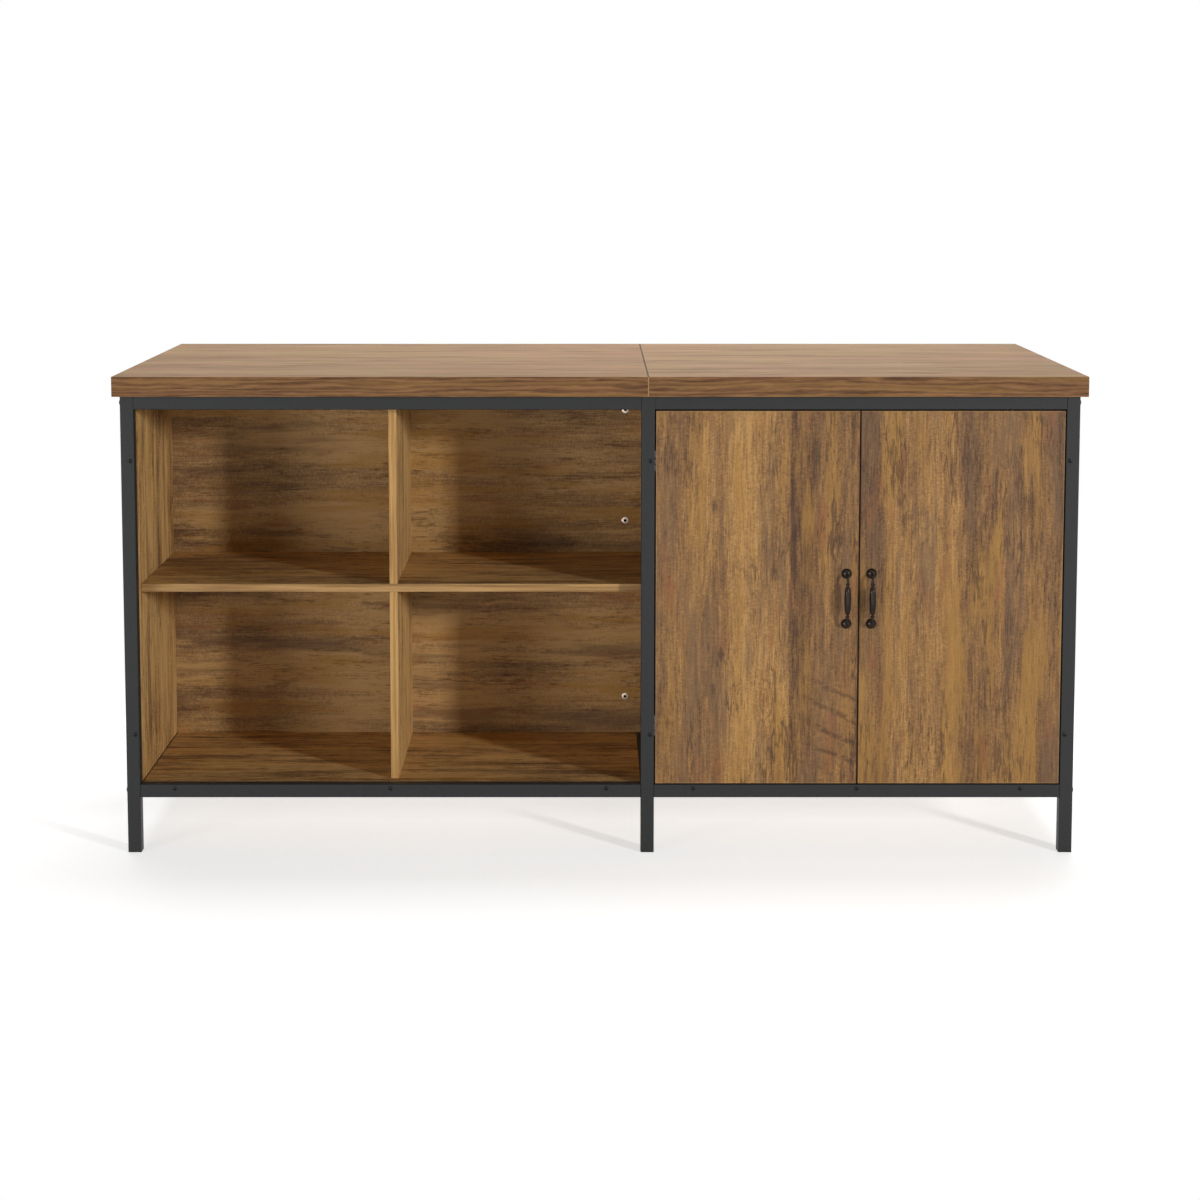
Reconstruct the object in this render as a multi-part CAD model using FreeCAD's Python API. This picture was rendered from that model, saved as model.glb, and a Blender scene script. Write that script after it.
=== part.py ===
"""Kitchen island: steel tube frame, wood board storage, two inset doors and a two-piece worktop.

Sizes are in millimetres. +X runs to the right seen from the door side, the doors face -Y and +Z is up.
The origin is on the floor, in the middle of the whole object's outline.
"""
import FreeCAD
import Part
import math
import os

# Overall sizes
ISLAND_WIDTH = 1828.8
ISLAND_DEPTH = 762.0
ISLAND_HEIGHT = 914.4
TOP_THICKNESS = 38.1
TOP_OVERHANG = 12.7
TOP_EDGE_BEVEL = 0.8
CUPBOARD_CLEAR_WIDTH = 773.3
STORAGE_DEPTH = 421.4
LEG_CLEAR_HEIGHT = 106.9

# Steel tube frame
TUBE = 25.4
TUBE_WALL = 1.2
TUBE_BEVEL = 1.2
FOOT_FLANGE = 2.0
PLUG_LENGTH = 22.0
PLUG_PLAY = 0.1

# Boards
BOARD = 15.0
FLOOR_PLAY = 2.0
SHELF_PLAY = 0.5
LAP_CLEARANCE = 0.2
SHELF_SETBACK = 45.0
OPEN_SHELF_TOP = 511.5
CUPBOARD_SHELF_PLAY = 1.0
PIN_HOLE_PITCH = 64.0
PIN_HOLE_ROWS = (-1, 0, 1)
PIN_COLUMN_INSET = 37.0

# Doors
DOOR_SIDE_GAP = 2.4
DOOR_MEETING_GAP = 2.0
HANDLE_EDGE_INSET = 22.5
HANDLE_CENTRES = 96.0

# Handles: a turned grip on two bent necks, each rising from a domed rose
ROSE_DIAMETER = 19.6
ROSE_RIM = 2.0
ROSE_HEIGHT = 8.0
ROSE_TOP_DIAMETER = 8.4
NECK_DIAMETER = 5.6
BEAD_DIAMETER = 8.2
BEAD_WIDTH = 3.2
BEAD_GAP = 3.0
HANDLE_PROJECTION = 28.0
HANDLE_BEND_RADIUS = 10.0
GRIP_LENGTH = 53.0
GRIP_DIAMETER = 13.0
GRIP_END_DIAMETER = 10.4
GRIP_NOSE_DIAMETER = 7.4
GRIP_GROOVE_DIAMETER = 8.6
GRIP_GROOVE_WIDTH = 1.6
GRIP_COLLAR_WIDTH = 3.6
HANDLE_THREAD_DEPTH = 6.5

# Concealed cup hinges
CUP_DIAMETER = 35.0
CUP_EDGE_DISTANCE = 5.0
CUP_SKIN = 3.5
CUP_WALL = 0.9
CUP_FLANGE = 1.2
CUP_FLANGE_RIM = 1.6
CUP_EAR_LENGTH = 58.0
CUP_EAR_WIDTH = 14.0
CUP_EAR_OFFSET = 7.0
CUP_SCREW_SPACING = 45.0
HINGE_END_DISTANCE = 100.0
HINGE_PLATE_SETBACK = 37.0
HINGE_PLATE_LENGTH = 34.0
HINGE_PLATE_WIDTH = 14.0
HINGE_PLATE_THICKNESS = 3.0
HINGE_WING_SPAN = 44.0
HINGE_WING_LENGTH = 14.0
HINGE_CORNER = 3.5
HINGE_SCREW_SPACING = 32.0
HINGE_RISER = 5.0
ARM_WIDTH = 16.0
ARM_HEIGHT = 6.0
ARM_TAIL = 23.0
ARM_BEVEL = 3.0
ARM_NOSE_WIDTH = 13.0
ARM_NOSE_OFFSET = 2.5
ARM_TO_CUP = 0.3
ARM_TO_PLATE = 0.1
ADJUSTER_HEIGHT = 1.2

# Cam locks and dowels
CAM_DIAMETER = 15.0
CAM_SKIN = 2.5
CAM_INSET = 34.0
CAM_RECESS_DIAMETER = 6.3
CAM_RECESS_DEPTH = 3.0
CAM_HEIGHT_SHARES = (0.102, 0.598, 0.906)
CAM_BOLT_DIAMETER = 6.0
CAM_BOLT_BITE = 10.0
DOWEL_DIAMETER = 6.0
DOWEL_IN_FACE = 9.0
DOWEL_IN_EDGE = 16.0
BACK_DOWEL_FROM_SCREW = 50.0
SHELF_DOWEL_SHARES = (0.2, 0.8)
SPLINE_LENGTH = 120.0
SPLINE_WIDTH = 40.0
SPLINE_THICKNESS = 6.0
SPLINE_SHARES = (0.2, 0.5, 0.8)
WOOD_FIT = 0.1

# Screws, bolts and pins
HEAD_CROWN_SHARE = 0.62
BORE_PLAY = 0.3
FRAME_SCREW_HEAD = 7.0
FRAME_SCREW_HEAD_HEIGHT = 2.0
FRAME_SCREW_SHANK = 4.0
FRAME_SCREW_BITE = 26.0
POST_SCREW_INSET = 97.0
SHELF_BAY_SCREW_INSET = 65.5
CUPBOARD_SCREW_INSET = 75.0
END_BOLT_DIAMETER = 6.0
END_BOLT_HEAD = 10.5
END_BOLT_HEAD_HEIGHT = 3.3
END_BOLT_BITE = 18.0
TOP_SCREW_SHANK = 4.5
TOP_SCREW_HEAD = 9.0
TOP_SCREW_HEAD_HEIGHT = 3.0
TOP_SCREW_BITE = 22.0
TOP_SCREW_SHARES = (0.18, 0.82)
ACCESS_HOLE = 11.0
HANDLE_SCREW = 4.0
HANDLE_SCREW_HEAD = 8.5
HANDLE_SCREW_HEAD_HEIGHT = 2.0
HINGE_SCREW = 3.5
HINGE_SCREW_HEAD = 6.0
HINGE_SCREW_HEAD_HEIGHT = 1.4
HINGE_SCREW_BITE = 10.0
SHELF_PIN_DIAMETER = 5.0
SHELF_PIN_DEPTH = 9.0
SHELF_PIN_REACH = 9.0
CUT_OVERRUN = 1.0

# Numbers of flats and of steps that stand for rounds, with fewer on the smaller and the hidden pieces
SHANK_SIDES = 6
HEAD_SIDES = 8
NECK_SIDES = 12
DISC_SIDES = 12
TURNED_SIDES = 16
BEND_STEPS = 4
DOME_STEPS = 3
BARREL_STEPS = 6

# Places worked out from the sizes above
X_AXIS = FreeCAD.Vector(1, 0, 0)
Y_AXIS = FreeCAD.Vector(0, 1, 0)
Z_AXIS = FreeCAD.Vector(0, 0, 1)
FRAME_WIDTH = ISLAND_WIDTH - 2 * TOP_OVERHANG
FRAME_DEPTH = ISLAND_DEPTH - 2 * TOP_OVERHANG
FRAME_TOP = ISLAND_HEIGHT - TOP_THICKNESS
LOW_RAIL_TOP = LEG_CLEAR_HEIGHT + TUBE
HIGH_RAIL_BASE = FRAME_TOP - TUBE
LOW_RAIL_MIDDLE = LEG_CLEAR_HEIGHT + TUBE / 2
HIGH_RAIL_MIDDLE = FRAME_TOP - TUBE / 2
FRONT = -(FRAME_DEPTH + TOP_OVERHANG - HANDLE_PROJECTION) / 2
REAR = FRONT + FRAME_DEPTH
BEHIND_POST = FRONT + TUBE
REAR_POST = REAR - TUBE
BACK_FACE = FRONT + STORAGE_DEPTH
BACK_PANEL_FRONT = BACK_FACE - BOARD
FRAME_LEFT = -FRAME_WIDTH / 2
FRAME_RIGHT = FRAME_WIDTH / 2
MID_FRAME_RIGHT = FRAME_RIGHT - TUBE - CUPBOARD_CLEAR_WIDTH
MID_FRAME_LEFT = MID_FRAME_RIGHT - TUBE
SEAM = MID_FRAME_RIGHT - TUBE / 2
LADDERS = {"left": FRAME_LEFT, "mid": MID_FRAME_LEFT, "right": FRAME_RIGHT - TUBE}
BAYS = {
    "left": (FRAME_LEFT + TUBE, MID_FRAME_LEFT),
    "right": (MID_FRAME_RIGHT, FRAME_RIGHT - TUBE),
}
PARTITION_LEFT = MID_FRAME_RIGHT - BOARD
UPRIGHTS = {
    "left_side_panel": FRAME_LEFT + TUBE - BOARD,
    "partition_panel": PARTITION_LEFT,
    "right_side_panel": FRAME_RIGHT - TUBE,
}
DIVIDER_LEFT = (BAYS["left"][0] + PARTITION_LEFT - BOARD) / 2
SHELF_FRONT = FRONT + SHELF_SETBACK
LAP_MIDDLE = (SHELF_FRONT + BACK_PANEL_FRONT) / 2
OPEN_SHELF_BASE = OPEN_SHELF_TOP - BOARD
FLOOR_PANEL_BASE = LOW_RAIL_TOP - BOARD
DOOR_BASE = LOW_RAIL_TOP + DOOR_SIDE_GAP
DOOR_TOP = HIGH_RAIL_BASE - DOOR_SIDE_GAP
DOOR_WIDTH = (CUPBOARD_CLEAR_WIDTH - 2 * DOOR_SIDE_GAP - DOOR_MEETING_GAP) / 2
DOOR_BACK = FRONT + BOARD
DOOR_MIDDLE = (DOOR_BASE + DOOR_TOP) / 2
DOORS = {
    "left": (MID_FRAME_RIGHT + DOOR_SIDE_GAP, 1),
    "right": (FRAME_RIGHT - TUBE - DOOR_SIDE_GAP, -1),
}
HINGE_HEIGHTS = (DOOR_BASE + HINGE_END_DISTANCE, DOOR_TOP - HINGE_END_DISTANCE)
HINGE_PLATE_MIDDLE = DOOR_BACK + HINGE_PLATE_SETBACK
POST_SCREW_HEIGHTS = (LOW_RAIL_TOP + POST_SCREW_INSET, HIGH_RAIL_BASE - POST_SCREW_INSET)
CUP_DEPTH = BOARD - CUP_SKIN
CAM_DEPTH = BOARD - CAM_SKIN


def at(x, y, z):
    """Point or direction from its three parts."""
    return FreeCAD.Vector(x, y, z)


def block(x, y, z):
    """Square-cut board or slot between two bounds along each axis."""
    return Part.makeBox(x[1] - x[0], y[1] - y[0], z[1] - z[0], at(x[0], y[0], z[0]))


def share_of(bounds, share):
    """Place at a share of the way between two bounds."""
    return bounds[0] + (bounds[1] - bounds[0]) * share


def placed(shape, point, direction):
    """Turns a shape made along +Z so that it points along direction from point."""
    shape.Placement = FreeCAD.Placement(point, FreeCAD.Rotation(Z_AXIS, direction))
    return shape


def flats(diameter, height, sides):
    """Closed outline with a number of flats inside a circle, at a height above the origin."""
    points = []
    for corner in range(sides + 1):
        angle = math.pi * (2 * corner + 1) / sides
        points.append(at(diameter / 2 * math.cos(angle), diameter / 2 * math.sin(angle), height))
    return Part.makePolygon(points)


def shank(start, direction, diameter, length, sides=SHANK_SIDES):
    """Rod or bore with flats in place of the round."""
    body = Part.Face(flats(diameter, 0, sides)).extrude(Z_AXIS * length)
    return placed(body, start, direction)


def skinned(rings):
    """Solid with flat faces between closed outlines that have the same number of corners."""
    faces = [Part.Face(rings[0]), Part.Face(rings[-1])]
    for low, high in zip(rings, rings[1:]):
        lower = [vertex.Point for vertex in low.Vertexes]
        upper = [vertex.Point for vertex in high.Vertexes]
        for corner in range(len(lower)):
            after = (corner + 1) % len(lower)
            flat = [lower[corner], lower[after], upper[after], upper[corner], lower[corner]]
            faces.append(Part.Face(Part.makePolygon(flat)))
    shell = Part.makeShell(faces)
    shell.sewShape()
    solid = Part.makeSolid(shell)
    if solid.Volume < 0:
        solid.reverse()
    return solid


def turned(profile, point, direction, sides=TURNED_SIDES):
    """Turned piece from the (diameter, distance) steps of its profile along direction."""
    rings = [flats(diameter, distance, sides) for diameter, distance in profile]
    return placed(skinned(rings), point, direction)


def cut_corner_face(centre, across, up, width, height, corner):
    """Rectangle with cut corners, centred in the plane of two unit directions."""
    half_width = width / 2
    half_height = height / 2
    steps = []
    for a, b in ((1, 1), (-1, 1), (-1, -1), (1, -1)):
        on_side = (a * half_width, b * (half_height - corner))
        on_end = (a * (half_width - corner), b * half_height)
        steps += [on_end, on_side] if a * b < 0 else [on_side, on_end]
    points = [centre + across * a + up * b for a, b in steps]
    return Part.Face(Part.makePolygon(points + points[:1]))


def sharp_square(centre, across, up, side):
    """Square outline with sharp corners, centred on a point in the plane of two unit directions."""
    half = side / 2
    corners = [centre + across * a * half + up * b * half for a, b in ((1, 1), (-1, 1), (-1, -1), (1, -1))]
    return Part.makePolygon(corners + corners[:1])


def section_axes(direction):
    """Two unit directions square to a tube's run."""
    across = Y_AXIS if direction.isEqual(X_AXIS, 0) or direction.isEqual(X_AXIS * -1, 0) else X_AXIS
    return across, direction.cross(across)


def tube(start, direction, length):
    """Square steel tube from the centre of its first end."""
    across, up = section_axes(direction)
    outer = cut_corner_face(start, across, up, TUBE, TUBE, TUBE_BEVEL)
    inner = Part.Face(sharp_square(start, across, up, TUBE - 2 * TUBE_WALL))
    return outer.cut(inner).Faces[0].extrude(direction * length)


def plug(start, direction, length):
    """Insert that fills a tube's end, starting at the tube's mouth."""
    across, up = section_axes(direction)
    outline = sharp_square(start, across, up, TUBE - 2 * TUBE_WALL - 2 * PLUG_PLAY)
    return Part.Face(outline).extrude(direction * length)


def screw(seat, direction, diameter, bite, head, head_height):
    """Low-headed screw with its head on seat and its shank along direction."""
    rim = flats(head, 0, HEAD_SIDES)
    crown = flats(head * HEAD_CROWN_SHARE, -head_height, HEAD_SIDES)
    cap = placed(skinned([rim, crown]), seat, direction)
    return cap.fuse(shank(seat, direction, diameter, bite))


def drilled(body, cutters):
    """Cuts the cutters that reach a body out of it."""
    reaching = [cutter for cutter in cutters if body.BoundBox.intersect(cutter.BoundBox)]
    return body.cut(reaching) if reaching else body


def post_screw_seats():
    """Seats and directions of the screws through the front and back posts into the upright boards."""
    seats = []
    for left in UPRIGHTS.values():
        for z in POST_SCREW_HEIGHTS:
            seats.append((at(left + BOARD / 2, FRONT, z), Y_AXIS))
            seats.append((at(left + BOARD / 2, BACK_FACE + TUBE, z), Y_AXIS * -1))
    return seats


def rail_screw_seats():
    """Seats and directions of the screws that hold the floor panels between the bottom rails."""
    z = LOW_RAIL_TOP - BOARD / 2
    insets = {"left": SHELF_BAY_SCREW_INSET, "right": CUPBOARD_SCREW_INSET}
    seats = []
    for side, (low, high) in BAYS.items():
        for x in (low + insets[side], (low + high) / 2, high - insets[side]):
            seats.append((at(x, FRONT, z), Y_AXIS))
            seats.append((at(x, BACK_FACE + TUBE, z), Y_AXIS * -1))
    return seats


def frame_screw_bores():
    """Clearance bores through the tube, each with its pilot bore in the board behind."""
    bores = []
    for seat, direction in post_screw_seats() + rail_screw_seats():
        clear = FRAME_SCREW_SHANK + 2 * BORE_PLAY
        bores.append(shank(seat - direction * CUT_OVERRUN, direction, clear, TUBE + CUT_OVERRUN))
        pilot = FRAME_SCREW_SHANK + 2 * WOOD_FIT
        bores.append(shank(seat + direction * TUBE, direction, pilot, FRAME_SCREW_BITE + CUT_OVERRUN))
    return bores


def rail_lines():
    """Middle lines of the four rows of cross rails: (y, z) by row name."""
    half = TUBE / 2
    return {
        "front_top_rail_": (FRONT + half, HIGH_RAIL_MIDDLE),
        "front_bottom_rail_": (FRONT + half, LOW_RAIL_MIDDLE),
        "rear_top_rail_": (REAR - half, HIGH_RAIL_MIDDLE),
        "inner_bottom_rail_": (BACK_FACE + half, LOW_RAIL_MIDDLE),
    }


def frame_bolt_bores():
    """Bores along X through the three ladder frames for the end bolts and the middle studs."""
    bores = []
    for x in LADDERS.values():
        for y, z in rail_lines().values():
            start = at(x - CUT_OVERRUN, y, z)
            bores.append(shank(start, X_AXIS, END_BOLT_DIAMETER + 2 * BORE_PLAY, TUBE + 2 * CUT_OVERRUN))
    return bores


def top_screw_places():
    """X and Y places of the screws up into the worktop, through the front and rear top rails."""
    places = []
    for bay in BAYS.values():
        for share in TOP_SCREW_SHARES:
            for y in (FRONT + TUBE / 2, REAR - TUBE / 2):
                places.append((share_of(bay, share), y))
    return places


def top_screw_bores():
    """Driver holes in the rails' undersides and shank holes in their upper walls."""
    bores = []
    for x, y in top_screw_places():
        bores.append(shank(at(x, y, HIGH_RAIL_MIDDLE), Z_AXIS, TOP_SCREW_SHANK + 2 * BORE_PLAY, TUBE))
        low = at(x, y, HIGH_RAIL_BASE - CUT_OVERRUN)
        bores.append(shank(low, Z_AXIS, ACCESS_HOLE, CUT_OVERRUN + 2 * TUBE_WALL))
    return bores


def frame_parts():
    """Posts and rails of the three ladder frames, and the cross rails between them."""
    half = TUBE / 2
    leg = FRAME_TOP - FOOT_FLANGE
    back_post = HIGH_RAIL_BASE - LOW_RAIL_TOP
    run = REAR_POST - BEHIND_POST
    parts = {}
    for side, x in LADDERS.items():
        middle = x + half
        parts[side + "_front_post"] = tube(at(middle, FRONT + half, FOOT_FLANGE), Z_AXIS, leg)
        parts[side + "_rear_post"] = tube(at(middle, REAR - half, FOOT_FLANGE), Z_AXIS, leg)
        parts[side + "_back_post"] = tube(at(middle, BACK_FACE + half, LOW_RAIL_TOP), Z_AXIS, back_post)
        parts[side + "_top_depth_rail"] = tube(at(middle, BEHIND_POST, HIGH_RAIL_MIDDLE), Y_AXIS, run)
        parts[side + "_bottom_depth_rail"] = tube(at(middle, BEHIND_POST, LOW_RAIL_MIDDLE), Y_AXIS, run)
    for side, (low, high) in BAYS.items():
        for name, (y, z) in rail_lines().items():
            parts[name + side] = tube(at(low, y, z), X_AXIS, high - low)
    bores = frame_screw_bores() + frame_bolt_bores() + top_screw_bores()
    return {name: drilled(body, bores) for name, body in parts.items()}


def rail_end_parts():
    """Plugs in the rails' ends, with the bolts and studs that hold the rails to the ladder frames."""
    plugs = []
    bolts = []
    studs = []
    bore = END_BOLT_DIAMETER + 2 * PLUG_PLAY
    for y, z in rail_lines().values():
        for low, high in BAYS.values():
            for x, inward in ((low, X_AXIS), (high, X_AXIS * -1)):
                mouth = at(x, y, z)
                hole = shank(mouth - inward * CUT_OVERRUN, inward, bore, PLUG_LENGTH + 2 * CUT_OVERRUN)
                plugs.append(plug(mouth, inward, PLUG_LENGTH).cut(hole))
        for x, inward in ((FRAME_LEFT, X_AXIS), (FRAME_RIGHT, X_AXIS * -1)):
            seat = at(x, y, z)
            bolts.append(screw(seat, inward, END_BOLT_DIAMETER, TUBE + END_BOLT_BITE,
                               END_BOLT_HEAD, END_BOLT_HEAD_HEIGHT))
        start = at(MID_FRAME_LEFT - END_BOLT_BITE, y, z)
        studs.append(shank(start, X_AXIS, END_BOLT_DIAMETER, TUBE + 2 * END_BOLT_BITE))
    return {"rail_end_plugs": plugs, "end_frame_bolts": bolts, "mid_frame_studs": studs}


def foot_plugs():
    """Plugs under the six legs, each with a thin flange that meets the floor."""
    feet = []
    for x in LADDERS.values():
        for y in (FRONT, REAR_POST):
            centre = at(x + TUBE / 2, y + TUBE / 2, 0)
            flange = cut_corner_face(centre, X_AXIS, Y_AXIS, TUBE, TUBE, TUBE_BEVEL)
            inside = plug(centre + Z_AXIS * FOOT_FLANGE, Z_AXIS, PLUG_LENGTH)
            feet.append(flange.extrude(Z_AXIS * FOOT_FLANGE).fuse(inside))
    return feet


def worktop_splines(play):
    """Loose tongues across the worktop's seam, or their slots when given play."""
    worktop_y = (FRONT - TOP_OVERHANG, REAR + TOP_OVERHANG)
    middle_z = FRAME_TOP + TOP_THICKNESS / 2
    half_x = SPLINE_WIDTH / 2 + play
    half_y = SPLINE_LENGTH / 2 + play
    half_z = SPLINE_THICKNESS / 2 + play
    splines = []
    for share in SPLINE_SHARES:
        y = share_of(worktop_y, share)
        splines.append(block((SEAM - half_x, SEAM + half_x), (y - half_y, y + half_y),
                             (middle_z - half_z, middle_z + half_z)))
    return splines


def worktop_half(low, high):
    """One half of the worktop, with its outer edges eased and its seam edges left sharp."""
    body = block((low, high), (FRONT - TOP_OVERHANG, REAR + TOP_OVERHANG), (FRAME_TOP, ISLAND_HEIGHT))
    outer = [edge for edge in body.Edges if abs(edge.CenterOfMass.x - SEAM) > TOP_EDGE_BEVEL]
    return body.makeChamfer(TOP_EDGE_BEVEL, outer)


def worktop_parts():
    """Two worktop halves that meet over the middle frame, with their splines and screws."""
    cutters = worktop_splines(WOOD_FIT)
    screws = []
    for x, y in top_screw_places():
        seat = at(x, y, FRAME_TOP - TUBE_WALL)
        length = TUBE_WALL + TOP_SCREW_BITE
        screws.append(screw(seat, Z_AXIS, TOP_SCREW_SHANK, length, TOP_SCREW_HEAD, TOP_SCREW_HEAD_HEIGHT))
        cutters.append(shank(seat, Z_AXIS, TOP_SCREW_SHANK + 2 * WOOD_FIT, length + CUT_OVERRUN))
    return {
        "countertop_left": drilled(worktop_half(-ISLAND_WIDTH / 2, SEAM), cutters),
        "countertop_right": drilled(worktop_half(SEAM, ISLAND_WIDTH / 2), cutters),
        "countertop_splines": worktop_splines(0),
        "countertop_screws": screws,
    }


def dowel_joints():
    """Joint points of the board dowels, each with the direction from the face into the board's edge."""
    joints = []
    low_screw, high_screw = POST_SCREW_HEIGHTS
    for z in (low_screw + BACK_DOWEL_FROM_SCREW, high_screw - BACK_DOWEL_FROM_SCREW):
        for low, _ in BAYS.values():
            joints.append((at(low, BACK_FACE - BOARD / 2, z), X_AXIS))
    z = OPEN_SHELF_TOP - BOARD / 2
    for share in SHELF_DOWEL_SHARES:
        y = share_of((SHELF_FRONT, BACK_PANEL_FRONT), share)
        joints.append((at(BAYS["left"][0], y, z), X_AXIS))
        joints.append((at(PARTITION_LEFT, y, z), X_AXIS * -1))
        joints.append((at(DIVIDER_LEFT + BOARD / 2, y, LOW_RAIL_TOP), Z_AXIS))
    return joints


def dowels(play, overrun):
    """Fluted dowels across the board joints, or their bores when given play and overrun."""
    bodies = []
    for joint, direction in dowel_joints():
        start = joint - direction * (DOWEL_IN_FACE + overrun)
        length = DOWEL_IN_FACE + DOWEL_IN_EDGE + 2 * overrun
        bodies.append(shank(start, direction, DOWEL_DIAMETER + 2 * play, length))
    return bodies


def cam_places():
    """Cam centres on the front faces of the back panels, whose bolts run on along +X."""
    places = []
    for share in CAM_HEIGHT_SHARES:
        z = share_of((LOW_RAIL_TOP, FRAME_TOP), share)
        for end in (PARTITION_LEFT, BAYS["right"][1]):
            places.append(at(end - CAM_INSET, BACK_PANEL_FRONT, z))
    return places


def cam_bolts(play):
    """Bolts from the cams into the uprights, or their bores when given play."""
    bodies = []
    for centre in cam_places():
        start = centre + Y_AXIS * (BOARD / 2)
        length = CAM_INSET + CAM_BOLT_BITE + play
        bodies.append(shank(start, X_AXIS, CAM_BOLT_DIAMETER + 2 * play, length))
    return bodies


def cam_bores():
    """Bores that hold the cams in the back panels."""
    diameter = CAM_DIAMETER + 2 * WOOD_FIT
    depth = CAM_DEPTH + WOOD_FIT + CUT_OVERRUN
    mouths = [centre - Y_AXIS * CUT_OVERRUN for centre in cam_places()]
    return [shank(mouth, Y_AXIS, diameter, depth, DISC_SIDES) for mouth in mouths]


def cam_locks():
    """Cam discs, each with a driver recess and a throat for its bolt."""
    cams = []
    throats = cam_bolts(BORE_PLAY)
    for centre in cam_places():
        disc = shank(centre, Y_AXIS, CAM_DIAMETER, CAM_DEPTH, DISC_SIDES)
        mouth = centre - Y_AXIS * CUT_OVERRUN
        recess = shank(mouth, Y_AXIS, CAM_RECESS_DIAMETER, CAM_RECESS_DEPTH + CUT_OVERRUN, HEAD_SIDES)
        cams.append(drilled(disc, throats + [recess]))
    return cams


def shelf_pins(rows, play, overrun):
    """Pins of the cupboard shelf in the rows asked for, or their bores when given play and overrun."""
    bodies = []
    columns = (SHELF_FRONT + PIN_COLUMN_INSET, BACK_PANEL_FRONT - PIN_COLUMN_INSET)
    reach = SHELF_PIN_REACH if overrun == 0 else overrun
    for row in rows:
        for y in columns:
            for x, inward in ((BAYS["right"][0], X_AXIS), (BAYS["right"][1], X_AXIS * -1)):
                mouth = at(x, y, DOOR_MIDDLE + row * PIN_HOLE_PITCH)
                start = mouth - inward * (SHELF_PIN_DEPTH + overrun)
                length = SHELF_PIN_DEPTH + overrun + reach
                bodies.append(shank(start, inward, SHELF_PIN_DIAMETER + 2 * play, length))
    return bodies


def upright_parts():
    """Side panels and partition, framed by the tubes of their ladder frames."""
    y = (BEHIND_POST, BACK_FACE)
    z = (LOW_RAIL_TOP, HIGH_RAIL_BASE)
    return {name: block((left, left + BOARD), y, z) for name, left in UPRIGHTS.items()}


def floor_and_back_parts():
    """Floor panels between the bottom rails, and the back panels that stand on them."""
    y = (BEHIND_POST, BACK_FACE)
    z = (FLOOR_PANEL_BASE, LOW_RAIL_TOP)
    left_low, left_high = BAYS["left"]
    right_low, right_high = BAYS["right"]
    back_y = (BACK_PANEL_FRONT, BACK_FACE)
    back_z = (LOW_RAIL_TOP, FRAME_TOP)
    rail_y = (BEHIND_POST, REAR_POST)
    rail_notch = block((MID_FRAME_LEFT, MID_FRAME_RIGHT), rail_y, (HIGH_RAIL_BASE, FRAME_TOP))
    return {
        "floor_panel_left": block((left_low + FLOOR_PLAY, left_high), y, z),
        "floor_panel_right": block((right_low, right_high - FLOOR_PLAY), y, z),
        "back_panel_left": block((left_low, PARTITION_LEFT), back_y, back_z).cut(rail_notch),
        "back_panel_right": block((right_low, right_high), back_y, back_z),
    }


def shelf_parts():
    """Divider and open shelf crossing in a half-depth lap, and the cupboard's shelf."""
    divider_x = (DIVIDER_LEFT, DIVIDER_LEFT + BOARD)
    shelf_x = (BAYS["left"][0] + SHELF_PLAY, PARTITION_LEFT - SHELF_PLAY)
    shelf_z = (OPEN_SHELF_BASE, OPEN_SHELF_TOP)
    y = (SHELF_FRONT, BACK_PANEL_FRONT)
    slot_x = (divider_x[0] - LAP_CLEARANCE, divider_x[1] + LAP_CLEARANCE)
    slot_z = (shelf_z[0] - LAP_CLEARANCE, shelf_z[1] + LAP_CLEARANCE)
    front_y = (y[0] - CUT_OVERRUN, LAP_MIDDLE + LAP_CLEARANCE)
    rear_y = (LAP_MIDDLE - LAP_CLEARANCE, y[1] + CUT_OVERRUN)
    through_x = (slot_x[0] - CUT_OVERRUN, slot_x[1] + CUT_OVERRUN)
    through_z = (slot_z[0] - CUT_OVERRUN, slot_z[1] + CUT_OVERRUN)
    low, high = BAYS["right"]
    rest = DOOR_MIDDLE + SHELF_PIN_DIAMETER / 2
    divider = block(divider_x, y, (LOW_RAIL_TOP, FRAME_TOP))
    return {
        "divider_panel": divider.cut(block(through_x, front_y, slot_z)),
        "open_shelf": block(shelf_x, y, shelf_z).cut(block(slot_x, rear_y, through_z)),
        "cabinet_shelf": block((low + CUPBOARD_SHELF_PLAY, high - CUPBOARD_SHELF_PLAY),
                               (y[0], y[1] - CUPBOARD_SHELF_PLAY), (rest, rest + BOARD)),
    }


def board_parts():
    """All the boards with every bore that they carry."""
    parts = {**upright_parts(), **floor_and_back_parts(), **shelf_parts()}
    bores = frame_screw_bores() + dowels(WOOD_FIT, CUT_OVERRUN) + cam_bores() + cam_bolts(WOOD_FIT)
    bores += shelf_pins(PIN_HOLE_ROWS, WOOD_FIT, CUT_OVERRUN)
    pilot_depth = HINGE_PLATE_THICKNESS + HINGE_SCREW_BITE + WOOD_FIT
    for seat, direction in hinge_plate_screw_seats():
        bores.append(shank(seat, direction, HINGE_SCREW + 2 * WOOD_FIT, pilot_depth))
    return {name: drilled(body, bores) for name, body in parts.items()}


def hinge_places():
    """For every hinge: the upright's face, the sign into the cupboard, the cup's middle and the height."""
    places = []
    for edge, inward in DOORS.values():
        face = edge - inward * DOOR_SIDE_GAP
        cup = edge + inward * (CUP_EDGE_DISTANCE + CUP_DIAMETER / 2)
        for z in HINGE_HEIGHTS:
            places.append((face, inward, cup, z))
    return places


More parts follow.
